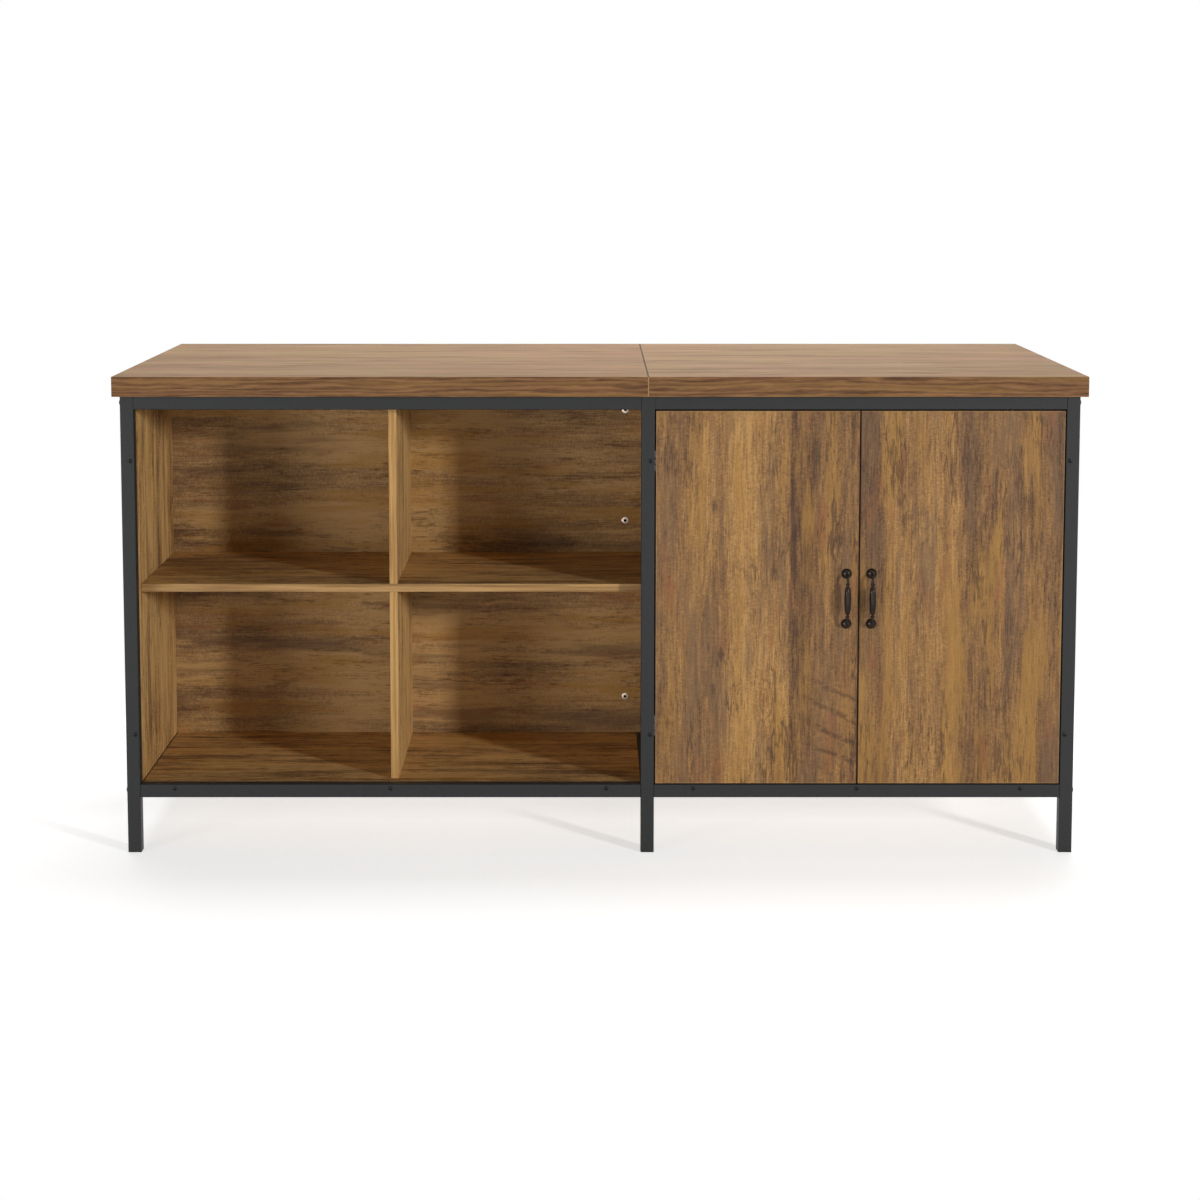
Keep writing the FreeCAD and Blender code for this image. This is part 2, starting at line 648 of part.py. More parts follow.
def hinge_plate_screw_seats():
    """Seats and directions of the screws that hold the mounting plates to the uprights."""
    seats = []
    for face, inward, _, z in hinge_places():
        for offset in (-HINGE_SCREW_SPACING / 2, HINGE_SCREW_SPACING / 2):
            seat = at(face + inward * HINGE_PLATE_THICKNESS, HINGE_PLATE_MIDDLE, z + offset)
            seats.append((seat, X_AXIS * -inward))
    return seats


def hinge_plate(face, inward, z):
    """Mounting plate: two screwed wings and a raised bar that carries the arm."""
    centre = at(face, HINGE_PLATE_MIDDLE, z)
    out = X_AXIS * inward
    wings = cut_corner_face(centre, Y_AXIS, Z_AXIS, HINGE_WING_LENGTH, HINGE_WING_SPAN, HINGE_CORNER)
    bar = cut_corner_face(centre, Y_AXIS, Z_AXIS, HINGE_PLATE_LENGTH, HINGE_PLATE_WIDTH, HINGE_CORNER)
    riser = bar.extrude(out * (HINGE_PLATE_THICKNESS + HINGE_RISER))
    body = wings.extrude(out * HINGE_PLATE_THICKNESS).fuse(riser)
    bores = [shank(seat - direction * CUT_OVERRUN, direction, HINGE_SCREW + 2 * BORE_PLAY,
                   HINGE_PLATE_THICKNESS + 2 * CUT_OVERRUN)
             for seat, direction in hinge_plate_screw_seats()]
    return drilled(body, bores)


def hinge_arm(face, inward, cup, z):
    """Cranked arm from the mounting plate into the cup, with its two adjusting screws."""
    base = face + inward * (HINGE_PLATE_THICKNESS + HINGE_RISER + ARM_TO_PLATE)
    crest = base + inward * ARM_HEIGHT
    nose = cup + inward * ARM_NOSE_OFFSET
    near_side = nose - inward * ARM_NOSE_WIDTH / 2
    far_side = nose + inward * ARM_NOSE_WIDTH / 2
    tip = DOOR_BACK - CUP_DEPTH + CUP_WALL + ARM_TO_CUP
    tail = HINGE_PLATE_MIDDLE + ARM_TAIL
    bend = HINGE_PLATE_MIDDLE - HINGE_PLATE_LENGTH / 2
    throat = DOOR_BACK + CUP_FLANGE
    points = [
        (base, tail),
        (crest - inward * ARM_BEVEL, tail),
        (crest, tail - ARM_BEVEL),
        (crest, bend + ARM_BEVEL),
        (crest + inward * ARM_BEVEL, bend),
        (far_side - inward * ARM_BEVEL, throat + ARM_NOSE_WIDTH),
        (far_side, throat + ARM_NOSE_WIDTH - ARM_BEVEL),
        (far_side, tip),
        (near_side, tip),
        (near_side, throat + ARM_BEVEL),
        (near_side - inward * ARM_BEVEL, throat + 2 * ARM_BEVEL),
        (base, bend - ARM_HEIGHT),
    ]
    corners = [at(x, y, z - ARM_WIDTH / 2) for x, y in points]
    body = Part.Face(Part.makePolygon(corners + corners[:1])).extrude(Z_AXIS * ARM_WIDTH)
    for y in (HINGE_PLATE_MIDDLE - HINGE_WING_LENGTH / 2, HINGE_PLATE_MIDDLE + HINGE_WING_LENGTH / 2):
        body = body.fuse(shank(at(crest, y, z), X_AXIS * inward, HINGE_SCREW_HEAD, ADJUSTER_HEIGHT))
    return body


def cup_screw_seats(inward, cup, z):
    """Seats and directions of the two screws through a cup's ears into the door."""
    x = cup + inward * CUP_EAR_OFFSET
    offsets = (-CUP_SCREW_SPACING / 2, CUP_SCREW_SPACING / 2)
    return [(at(x, DOOR_BACK + CUP_FLANGE, z + offset), Y_AXIS * -1) for offset in offsets]


def hinge_cup(inward, cup, z):
    """Pressed cup with its flange and screw ears on the door's back."""
    top = at(cup, DOOR_BACK + CUP_FLANGE, z)
    outside = CUP_DIAMETER - 2 * WOOD_FIT
    barrel = shank(top, Y_AXIS * -1, outside, CUP_FLANGE + CUP_DEPTH - WOOD_FIT, DISC_SIDES)
    rim = shank(top, Y_AXIS * -1, CUP_DIAMETER + 2 * CUP_FLANGE_RIM, CUP_FLANGE, DISC_SIDES)
    centre = at(cup + inward * CUP_EAR_OFFSET, DOOR_BACK, z)
    ears = cut_corner_face(centre, X_AXIS, Z_AXIS, CUP_EAR_WIDTH, CUP_EAR_LENGTH, HINGE_CORNER)
    hollow_depth = CUP_FLANGE + CUP_DEPTH - CUP_WALL
    cutters = [shank(top + Y_AXIS * CUT_OVERRUN, Y_AXIS * -1, outside - 2 * CUP_WALL,
                     hollow_depth + CUT_OVERRUN, DISC_SIDES)]
    for seat, direction in cup_screw_seats(inward, cup, z):
        cutters.append(shank(seat - direction * CUT_OVERRUN, direction, HINGE_SCREW + 2 * BORE_PLAY,
                             CUP_FLANGE + 2 * CUT_OVERRUN))
    return drilled(barrel.fuse([rim, ears.extrude(Y_AXIS * CUP_FLANGE)]), cutters)


def handle_feet(edge, inward):
    """Centres of a handle's two roses on the door's front face, the upper one first."""
    x = edge + inward * (DOOR_WIDTH - HANDLE_EDGE_INSET)
    return [at(x, FRONT, DOOR_MIDDLE + HANDLE_CENTRES / 2), at(x, FRONT, DOOR_MIDDLE - HANDLE_CENTRES / 2)]


def rose(foot):
    """Domed rose with an upright rim, ending in a small flat round the neck."""
    profile = [(ROSE_DIAMETER, 0)]
    for step in range(DOME_STEPS + 1):
        angle = math.pi / 2 * step / DOME_STEPS
        diameter = ROSE_TOP_DIAMETER + (ROSE_DIAMETER - ROSE_TOP_DIAMETER) * math.cos(angle)
        profile.append((diameter, ROSE_RIM + (ROSE_HEIGHT - ROSE_RIM) * math.sin(angle)))
    return turned(profile, foot, Y_AXIS * -1)


def neck(foot):
    """Neck that leaves the lower rose, bends up through a quarter turn and runs into the grip's end."""
    grip_out = HANDLE_PROJECTION - GRIP_DIAMETER / 2
    bend_centre = foot - Y_AXIS * (grip_out - HANDLE_BEND_RADIUS) + Z_AXIS * HANDLE_BEND_RADIUS
    stations = [(foot - Y_AXIS * ROSE_RIM, Y_AXIS * -1)]
    for step in range(BEND_STEPS + 1):
        angle = math.pi / 2 * step / BEND_STEPS
        spoke = Z_AXIS * -math.cos(angle) - Y_AXIS * math.sin(angle)
        heading = Z_AXIS * math.sin(angle) - Y_AXIS * math.cos(angle)
        stations.append((bend_centre + spoke * HANDLE_BEND_RADIUS, heading))
    end_z = (HANDLE_CENTRES - GRIP_LENGTH) / 2 + GRIP_GROOVE_WIDTH
    stations.append((foot - Y_AXIS * grip_out + Z_AXIS * end_z, Z_AXIS))
    rings = [placed(flats(NECK_DIAMETER, 0, NECK_SIDES), point, heading) for point, heading in stations]
    return skinned(rings)


def bead(foot):
    """Small turned bead on the neck, just short of the grip's end."""
    grip_out = HANDLE_PROJECTION - GRIP_DIAMETER / 2
    start = (HANDLE_CENTRES - GRIP_LENGTH) / 2 - BEAD_GAP - BEAD_WIDTH
    profile = [
        (NECK_DIAMETER, 0),
        (BEAD_DIAMETER, BEAD_WIDTH / 3),
        (BEAD_DIAMETER, BEAD_WIDTH * 2 / 3),
        (NECK_DIAMETER, BEAD_WIDTH),
    ]
    return turned(profile, foot - Y_AXIS * grip_out + Z_AXIS * start, Z_AXIS, NECK_SIDES)


def grip(centre):
    """Turned barrel along Z, swelling in the middle, with a tapered collar and a groove at each end."""
    half = GRIP_LENGTH / 2
    inner = half - GRIP_COLLAR_WIDTH
    shoulder = inner - GRIP_GROOVE_WIDTH
    end = [
        (GRIP_NOSE_DIAMETER, half),
        (GRIP_END_DIAMETER, half - GRIP_GROOVE_WIDTH),
        (GRIP_END_DIAMETER, inner),
        (GRIP_GROOVE_DIAMETER, inner - GRIP_GROOVE_WIDTH / 2),
    ]
    barrel = []
    for step in range(BARREL_STEPS + 1):
        swell = math.sin(math.pi * step / BARREL_STEPS)
        diameter = GRIP_END_DIAMETER + (GRIP_DIAMETER - GRIP_END_DIAMETER) * swell
        barrel.append((diameter, shoulder * (2 * step / BARREL_STEPS - 1)))
    low_end = [(diameter, -distance) for diameter, distance in end]
    return turned(low_end + barrel + end[::-1], centre, Z_AXIS)


def handle(edge, inward):
    """Spindle handle cast as one piece: two roses, two bent necks with beads and the turned grip."""
    upper, lower = handle_feet(edge, inward)
    middle = (upper + lower) * 0.5
    grip_out = HANDLE_PROJECTION - GRIP_DIAMETER / 2
    low_leg = rose(lower).fuse([neck(lower), bead(lower)])
    body = grip(middle - Y_AXIS * grip_out).fuse([low_leg, low_leg.mirror(middle, Z_AXIS)])
    threads = [shank(foot + Y_AXIS * CUT_OVERRUN, Y_AXIS * -1, HANDLE_SCREW + 2 * WOOD_FIT,
                     HANDLE_THREAD_DEPTH + CUT_OVERRUN)
               for foot in (upper, lower)]
    return body.cut(threads).removeSplitter()


def door(edge, inward):
    """Door board with its cup bores, handle holes and pilot holes."""
    x = sorted((edge, edge + inward * DOOR_WIDTH))
    cutters = []
    for _, side, cup, z in hinge_places():
        mouth = at(cup, DOOR_BACK + CUT_OVERRUN, z)
        cutters.append(shank(mouth, Y_AXIS * -1, CUP_DIAMETER, CUP_DEPTH + CUT_OVERRUN, DISC_SIDES))
        for seat, direction in cup_screw_seats(side, cup, z):
            depth = CUP_FLANGE + HINGE_SCREW_BITE + WOOD_FIT
            cutters.append(shank(seat, direction, HINGE_SCREW + 2 * WOOD_FIT, depth))
    for foot in handle_feet(edge, inward):
        clear = HANDLE_SCREW + 2 * BORE_PLAY
        cutters.append(shank(foot - Y_AXIS * CUT_OVERRUN, Y_AXIS, clear, BOARD + 2 * CUT_OVERRUN))
    return drilled(block(x, (FRONT, DOOR_BACK), (DOOR_BASE, DOOR_TOP)), cutters)


def door_screws(edge, inward):
    """Handle screws from behind the door, and the screws of the hinge cups."""
    screws = []
    for foot in handle_feet(edge, inward):
        bite = BOARD + HANDLE_THREAD_DEPTH - WOOD_FIT
        screws.append(screw(foot + Y_AXIS * BOARD, Y_AXIS * -1, HANDLE_SCREW, bite,
                            HANDLE_SCREW_HEAD, HANDLE_SCREW_HEAD_HEIGHT))
    for _, side, cup, z in hinge_places():
        if side == inward:
            for seat, direction in cup_screw_seats(side, cup, z):
                screws.append(screw(seat, direction, HINGE_SCREW, CUP_FLANGE + HINGE_SCREW_BITE,
                                    HINGE_SCREW_HEAD, HINGE_SCREW_HEAD_HEIGHT))
    return screws


def door_parts():
    """Both doors with their handles, cups and screws."""
    parts = {}
    for side, (edge, inward) in DOORS.items():
        parts[side + "_door"] = door(edge, inward)
        parts[side + "_handle"] = handle(edge, inward)
        parts[side + "_door_screws"] = door_screws(edge, inward)
        parts[side + "_hinge_cups"] = [hinge_cup(sign, cup, z) for _, sign, cup, z in hinge_places()
                                       if sign == inward]
    return parts


def hinge_parts():
    """Mounting plates, arms and plate screws, which stay with the uprights."""
    bite = HINGE_PLATE_THICKNESS + HINGE_SCREW_BITE
    screws = [screw(seat, direction, HINGE_SCREW, bite, HINGE_SCREW_HEAD, HINGE_SCREW_HEAD_HEIGHT)
              for seat, direction in hinge_plate_screw_seats()]
    return {
        "hinge_plates": [hinge_plate(face, inward, z) for face, inward, _, z in hinge_places()],
        "hinge_arms": [hinge_arm(*place) for place in hinge_places()],
        "hinge_plate_screws": screws,
    }


def frame_screws(seats):
    """Screws through the frame's tubes into the boards."""
    return [screw(seat, direction, FRAME_SCREW_SHANK, TUBE + FRAME_SCREW_BITE,
                  FRAME_SCREW_HEAD, FRAME_SCREW_HEAD_HEIGHT)
            for seat, direction in seats]


def all_parts():
    """Every node of the island by name: a solid, or a list of solids that share a node."""
    parts = {**worktop_parts(), **frame_parts(), **rail_end_parts(), **board_parts()}
    parts.update(door_parts())
    parts.update(hinge_parts())
    parts["cam_locks"] = cam_locks()
    parts["cam_bolts"] = cam_bolts(0)
    parts["panel_dowels"] = dowels(0, 0)
    parts["shelf_pins"] = shelf_pins((0,), 0, 0)
    parts["post_screws"] = frame_screws(post_screw_seats())
    parts["rail_screws"] = frame_screws(rail_screw_seats())
    parts["foot_plugs"] = foot_plugs()
    return parts


def main():
    """Writes one STEP file for each node."""
    os.makedirs("parts", exist_ok=True)
    for name, shape in all_parts().items():
        bodies = shape if isinstance(shape, list) else [shape]
        solids = [solid for body in bodies for solid in body.Solids]
        whole = solids[0] if len(solids) == 1 else Part.makeCompound(solids)
        whole.exportStep("parts/" + name + ".step")
        print(name, len(solids), "solids", round(whole.Volume), "cubic mm")


main()
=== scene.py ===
"""Studio scene of a kitchen island: a steel tube frame, open shelves, two doors and an oak-look worktop."""
from dataclasses import dataclass
from enum import Enum
import logging
import math

import bmesh
import bpy
from mathutils import Matrix, Vector


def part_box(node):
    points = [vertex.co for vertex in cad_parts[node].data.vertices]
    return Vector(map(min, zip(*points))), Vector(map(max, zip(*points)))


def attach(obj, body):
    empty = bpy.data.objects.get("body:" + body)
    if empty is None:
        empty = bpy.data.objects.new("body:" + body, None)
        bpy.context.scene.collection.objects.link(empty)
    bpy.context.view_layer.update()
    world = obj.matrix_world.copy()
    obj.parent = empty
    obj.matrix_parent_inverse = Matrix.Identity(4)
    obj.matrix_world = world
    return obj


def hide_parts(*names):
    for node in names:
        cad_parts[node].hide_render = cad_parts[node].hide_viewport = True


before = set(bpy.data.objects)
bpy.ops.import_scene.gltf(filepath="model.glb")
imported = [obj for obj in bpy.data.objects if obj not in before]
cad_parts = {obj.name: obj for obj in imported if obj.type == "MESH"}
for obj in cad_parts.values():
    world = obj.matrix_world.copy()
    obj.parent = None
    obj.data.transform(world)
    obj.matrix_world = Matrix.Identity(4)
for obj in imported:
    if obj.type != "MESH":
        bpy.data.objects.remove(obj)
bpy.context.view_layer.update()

LOG = logging.getLogger("kitchen island")
MM = 0.001
WELD_REACH = 0.01 * MM
EASE_ANGLE = math.radians(35)
SHARP_ANGLE = math.radians(38)
PRINT_RELIEF = 0.1 * MM
WHITE = (1.0, 1.0, 1.0, 1.0)
# Turns +Z to -Y, which is the way the island's front looks
FORWARD = Matrix.Rotation(math.radians(90), 4, "X")


def paint(red: float, green: float, blue: float) -> tuple[float, float, float, float]:
    """Colour for a shader socket from display values of 0 to 255.

    Args:
        red: Display red.
        green: Display green.
        blue: Display blue.

    Returns:
        Linear red, green, blue and a full alpha.
    """
    linear = []
    for value in (red, green, blue):
        share = value / 255
        linear.append(share / 12.92 if share <= 0.04045 else ((share + 0.055) / 1.055) ** 2.4)
    return (*linear, 1.0)


class Axis(Enum):
    """Direction of a board's grain, or of the faces that a line or band is kept to."""

    X = 0
    Y = 1
    Z = 2


class Signal:
    """A socket's value, with ordinary arithmetic that adds Math nodes."""

    def __init__(self, sheet: "Sheet", socket: bpy.types.NodeSocket) -> None:
        """Keeps the sheet that the socket belongs to."""
        self.sheet = sheet
        self.socket = socket

    def _maths(self, operation: str, *values: "Signal | float") -> "Signal":
        """One Math node on this sheet."""
        return self.sheet.node("ShaderNodeMath", {"operation": operation}, dict(enumerate(values)))

    def __add__(self, other: "Signal | float") -> "Signal":
        """Sum."""
        return self._maths("ADD", self, other)

    __radd__ = __add__

    def __sub__(self, other: "Signal | float") -> "Signal":
        """Difference."""
        return self._maths("SUBTRACT", self, other)

    def __rsub__(self, other: float) -> "Signal":
        """Difference from a number."""
        return self._maths("SUBTRACT", other, self)

    def __mul__(self, other: "Signal | float") -> "Signal":
        """Product."""
        return self._maths("MULTIPLY", self, other)

    __rmul__ = __mul__

    def __pow__(self, other: "Signal | float") -> "Signal":
        """Power."""
        return self._maths("POWER", self, other)

    def lower(self, other: "Signal | float") -> "Signal":
        """The lower of two values."""
        return self._maths("MINIMUM", self, other)

    def sine(self) -> "Signal":
        """Sine."""
        return self._maths("SINE", self)

    def clamped(self) -> "Signal":
        """The value kept between 0 and 1."""
        return self.sheet.node("ShaderNodeClamp", {}, {0: self})

    def above(self, low: float, high: float) -> "Signal":
        """Smooth step from 0 at the low value to 1 at the high one."""
        return self.sheet.node("ShaderNodeMapRange", {"interpolation_type": "SMOOTHSTEP"},
                               {0: self, 1: low, 2: high, 3: 0.0, 4: 1.0})

    def stripe(self, middle: float, near: float, far: float) -> "Signal":
        """Line of 1 at a middle, which fades out between two squares of the distance from it."""
        away = self - middle
        return 1 - (away * away).above(near, far)


class Sheet:
    """The node tree of one material or world."""

    def __init__(self, owner: "bpy.types.Material | bpy.types.World") -> None:
        """Clears the owner's nodes."""
        self.owner = owner
        owner.use_nodes = True
        self.tree = owner.node_tree
        self.tree.nodes.clear()

    def make(self, kind: str, settings: dict, inputs: dict) -> bpy.types.Node:
        """Adds one node.

        Args:
            kind: The node's type.
            settings: Values of the node itself, set first; "stops" holds a ramp's places and colours.
            inputs: Values or links by socket name or number.

        Returns:
            The node.
        """
        node = self.tree.nodes.new(kind)
        for key, value in settings.items():
            if key == "stops":
                self._fill_ramp(node.color_ramp, value)
            else:
                setattr(node, key, value)
        for key, value in inputs.items():
            if isinstance(value, Signal):
                self.tree.links.new(value.socket, node.inputs[key])
            else:
                node.inputs[key].default_value = value
        return node

    @staticmethod
    def _fill_ramp(ramp: bpy.types.ColorRamp, stops: list) -> None:
        """Gives a colour ramp its stops.

        Args:
            ramp: The ramp to fill.
            stops: Places and colours in order.
        """
        while len(ramp.elements) < len(stops):
            ramp.elements.new(1.0)
        for element, (place, colour) in zip(ramp.elements, stops):
            element.position = place
            element.color = colour

    def node(self, kind: str, settings: dict, inputs: dict, output: int | str = 0) -> Signal:
        """Adds one node as make does, and gives one of its outputs by name or number."""
        return Signal(self, self.make(kind, settings, inputs).outputs[output])

    def place(self) -> Signal:
        """Place on the piece at rest, in metres."""
        return self.node("ShaderNodeTexCoord", {}, {}, "Object")

    def split(self, vector: Signal) -> list[Signal]:
        """The three parts of a vector."""
        node = self.make("ShaderNodeSeparateXYZ", {}, {0: vector})
        return [Signal(self, output) for output in node.outputs]

    def facing(self, axis: Axis) -> Signal:
        """1 on faces that look along an axis either way, down to 0 on faces square to those."""
        part = self.split(self.node("ShaderNodeTexCoord", {}, {}, "Normal"))[axis.value]
        return part * part

    def stretched(self, vector: Signal, scale: tuple, offset: "tuple | Signal" = (0.0, 0.0, 0.0)) -> Signal:
        """Vector scaled by axis, then moved."""
        values = {0: vector, 1: scale, 2: offset}
        return self.node("ShaderNodeVectorMath", {"operation": "MULTIPLY_ADD"}, values)

    def noise(self, vector: Signal, scale: float, detail: float, rough: float, output: int = 0) -> Signal:
        """Cloudy noise between about 0 and 1: one value by output 0, three values by output 1."""
        values = {"Vector": vector, "Scale": scale, "Detail": detail, "Roughness": rough}
        return self.node("ShaderNodeTexNoise", {}, values, output)

    def waves(self, direction: str, vector: Signal, values: dict) -> Signal:
        """Wavy bands in one direction, between 0 and 1."""
        settings = {"wave_type": "BANDS", "bands_direction": direction}
        return self.node("ShaderNodeTexWave", settings, {"Vector": vector, **values}, 1)

    def mix(self, below: "Signal | tuple", above: "Signal | tuple", factor: "Signal | float") -> Signal:
        """Colours mixed, from the first at factor 0 to the second at factor 1."""
        return self.node("ShaderNodeMix", {"data_type": "RGBA"}, {0: factor, 6: below, 7: above}, 2)

    def ramp(self, factor: Signal, stops: list) -> Signal:
        """Colour that a factor picks from stops, which are places and colours in order."""
        return self.node("ShaderNodeValToRGB", {"stops": stops}, {0: factor})

    def finish(self, values: dict, height: Signal, depth: float) -> bpy.types.Material:
        """Ends the material in one principled shader.

        Args:
            values: Shader sockets by name.
            height: Relief.
            depth: Height of the relief in metres.

        Returns:
            The material.
        """
        bump = self.node("ShaderNodeBump", {}, {"Strength": 1.0, "Distance": depth, "Height": height})
        shader = self.node("ShaderNodeBsdfPrincipled", {}, {**values, "Normal": bump})
        self.make("ShaderNodeOutputMaterial", {}, {"Surface": shader})
        return self.owner


@dataclass(frozen=True)
class EdgeBand:
    """Light oak strip glued to a board's front edge."""

    pale: tuple = paint(204, 160, 100)
    deep: tuple = paint(158, 116, 66)


@dataclass(frozen=True)
class Knot:
    """Dark knot or small eye-shaped figure at a place on a door, with its half width and half height."""

    x: float
    z: float
    width: float
    height: float
    depth: float
    ringed: bool = False


@dataclass(frozen=True)
class Oak:
    """Rustic oak pattern printed along one axis, with planks, streaks, patches, knots, cracks and pores."""

    name: str
    grain: Axis
    seed: float
    seed_steps: tuple = (3.7, 1.3, 2.9)
    tones: tuple = (
        paint(76, 51, 34), paint(109, 78, 50), paint(136, 100, 62), paint(160, 119, 71), paint(188, 145, 88))
    gold: tuple = paint(172, 128, 64)
    russet: tuple = paint(146, 92, 58)
    smoke: tuple = paint(112, 88, 66)
    pore_colour: tuple = paint(66, 44, 30)
    # Painted highlight: pale colour along a door's rim, where light catches the eased edge.
    rim_highlight: tuple = paint(196, 156, 106)
    # Painted shade of the gap between the doors, laid along the meeting edge.
    gap_shade: tuple = paint(44, 24, 18)
    tint: float = 0.4
    planks: tuple = ()
    plank_range: tuple = (0.0, 1.0)
    tone: float = 0.5
    patch: float = 1.3
    streak: float = 1.3
    thread: float = 1.6
    chatter: float = 0.9
    blotch: float = 0.30
    wander: float = 0.006
    pore: float = 0.8
    knots: tuple = ()
    saw_box: tuple = ()
    # Box inside whose rim the painted highlight runs.
    highlight_box: tuple = ()
    # Where the painted shade line of the doors' gap lies across the board.
    meeting: float | None = None
    band: EdgeBand | None = None
    roughness: float = 0.54
    gloss: float = 0.28

    def _layer(self, sheet: Sheet, place: Signal, across: float, along: float, shift: float, detail: float,
               rough: float, output: int = 0) -> Signal:
        """Noise that is fine across the grain and long along it.

        Args:
            sheet: The material's nodes.
            place: Where the noise is read.
            across: Cells to a metre across the grain.
            along: Cells to a metre along the grain.
            shift: Sets this layer apart from the others.
            detail: Octaves.
            rough: How strong the finer octaves are.
            output: 0 for one value, 1 for three values as a vector.

        Returns:
            The noise.
        """
        scale = [across, across, across]
        scale[self.grain.value] = along
        offset = Vector([self.seed * step for step in self.seed_steps]) + Vector((shift, shift, shift))
        return sheet.noise(sheet.stretched(place, tuple(scale), tuple(offset)), 1.0, detail, rough, output)

    def _plank_tone(self, sheet: Sheet) -> Signal:
        """Tone from side to side of the board: printed planks on the doors, a smooth change on the back
        panels.

        Args:
            sheet: The material's nodes.

        Returns:
            Tone around 0.5.
        """
        low, high = self.plank_range
        share = (sheet.split(sheet.place())[0] - low) * (1 / (high - low))
        return sheet.ramp(share, [(where, (tone, tone, tone, 1.0)) for where, tone in self.planks])

    def _saw_marks(self, sheet: Sheet) -> Signal:
        """Slanting saw marks inside a box on the board's face.

        Args:
            sheet: The material's nodes.

        Returns:
            Strength of the marks from 0 to 1.
        """
        (left, right), (base, top) = self.saw_box
        place = sheet.place()
        x, _, z = sheet.split(place)
        fade = x.above(left, (left + right) / 2) * (1 - z.above((base + top) / 2, top))
        fade = fade * z.above(base, base + 30 * MM)
        broken = sheet.noise(sheet.stretched(place, (60.0, 0.0, 110.0)), 1.0, 2.0, 0.6)
        wave = sheet.waves("DIAGONAL", sheet.stretched(place, (28.0, 0.0, 60.0)),
                           {"Scale": 0.25, "Distortion": 2.2, "Detail": 2.0, "Detail Scale": 0.8})
        return wave.above(0.72, 1.0) * broken.above(0.36, 0.56) * fade

    def _knot_tone(self, sheet: Sheet, blur: Signal) -> Signal:
        """How much the placed knots darken the board.

        Args:
            sheet: The material's nodes.
            blur: Noise that frays the knots' outlines.

        Returns:
            Darkening from 0.
        """
        total = 0.0
        fray = (blur - 0.5) * 1.6
        for knot in self.knots:
            scale = (1 / knot.width, 0.0, 1 / knot.height)
            shift = (-knot.x / knot.width, 0.0, -knot.z / knot.height)
            spot = sheet.stretched(sheet.place(), scale, shift)
            away = sheet.node("ShaderNodeVectorMath", {"operation": "LENGTH"}, {0: spot}, 1) + fray
            total = total + (1 - away.above(0.15, 1.25)) * knot.depth
            if knot.ringed:
                ripple = (away * 9.0).sine().above(0.2, 1.0)
                total = total + ripple * (1 - away.above(1.2, 3.0)) * 0.22
        return total

    def _tinted(self, sheet: Sheet, bent: Signal, tone: Signal) -> Signal:
        """Colours for a tone, turned golden, smoky and russet in places.

        Args:
            sheet: The material's nodes.
            bent: Place on the board, with its wander.
            tone: 0 for the darkest colour to 1 for the palest.

        Returns:
            The colour.
        """
        warm = self._layer(sheet, bent, 26.0, 2.6, 15.0, 4.0, 0.6)
        red = self._layer(sheet, bent, 30.0, 7.0, 17.0, 4.0, 0.6)
        last = len(self.tones) - 1
        colour = sheet.ramp(tone.clamped(), [(number / last, stop) for number, stop in enumerate(self.tones)])
        colour = sheet.mix(colour, self.gold, warm.above(0.50, 0.66) * self.tint)
        colour = sheet.mix(colour, self.smoke, (1 - warm.above(0.34, 0.50)) * self.tint)
        return sheet.mix(colour, self.russet, red.above(0.56, 0.70) * self.tint * 0.8)

    def _marks(self, sheet: Sheet, bent: Signal, crowd: Signal) -> Signal:
        """Dark pores, cracks and specks, and the saw marks where there are any.

        Args:
            sheet: The material's nodes.
            bent: Place on the board, with its wander.
            crowd: Noise that says where marks gather.

        Returns:
            Strength of the marks from 0 to 1.
        """
        pores = self._layer(sheet, bent, 380.0, 36.0, 9.0, 2.0, 0.5)
        lines = self._layer(sheet, bent, 40.0, 3.6, 11.0, 4.0, 0.6)
        pits = self._layer(sheet, bent, 260.0, 120.0, 13.0, 2.0, 0.5)
        cracks = lines.stripe(0.5, 0.00004, 0.0006) * crowd.above(0.48, 0.60)
        dots = pores.above(0.58, 0.66) * crowd.above(0.36, 0.58)
        specks = pits.above(0.65, 0.71) * crowd.above(0.46, 0.62)
        marks = (dots * 0.75 + cracks * 0.7 + specks * 0.8).clamped()
        if self.saw_box:
            marks = (marks + self._saw_marks(sheet) * 0.75).clamped()
        return marks

    def _trimmed(self, sheet: Sheet, bent: Signal, colour: Signal) -> Signal:
        """Colour with the painted highlight along the rim, the painted shade line where the doors meet and
        the edge band, where a board has them.

        Args:
            sheet: The material's nodes.
            bent: Place on the board, with its wander.
            colour: The board's own colour.

        Returns:
            The colour.
        """
        # Painted highlight: a pale line just inside the box's rim, where light catches the door's eased edge.
        if self.highlight_box:
            (left, right), (base, top) = self.highlight_box
            x, _, z = sheet.split(sheet.place())
            inside = (x - left).lower(right - x).lower(z - base).lower(top - z)
            colour = sheet.mix(colour, self.rim_highlight, (1 - inside.above(0.4 * MM, 1.8 * MM)) * 0.4)
        # Painted shade: a dark line on the front face where the doors meet, standing in for the shade in the
        # gap.
        if self.meeting is not None:
            line = sheet.split(sheet.place())[0].stripe(self.meeting, 0.2e-6, 1.2e-6)
            colour = sheet.mix(colour, self.gap_shade, line * sheet.facing(Axis.Y).above(0.30, 0.55))
        if self.band:
            strip = self._layer(sheet, bent, 150.0, 4.0, 0.0, 3.0, 0.6)
            strips = sheet.mix(self.band.deep, self.band.pale, strip.above(0.30, 0.66))
            colour = sheet.mix(colour, strips, sheet.facing(Axis.Y).above(0.55, 0.75))
        return colour

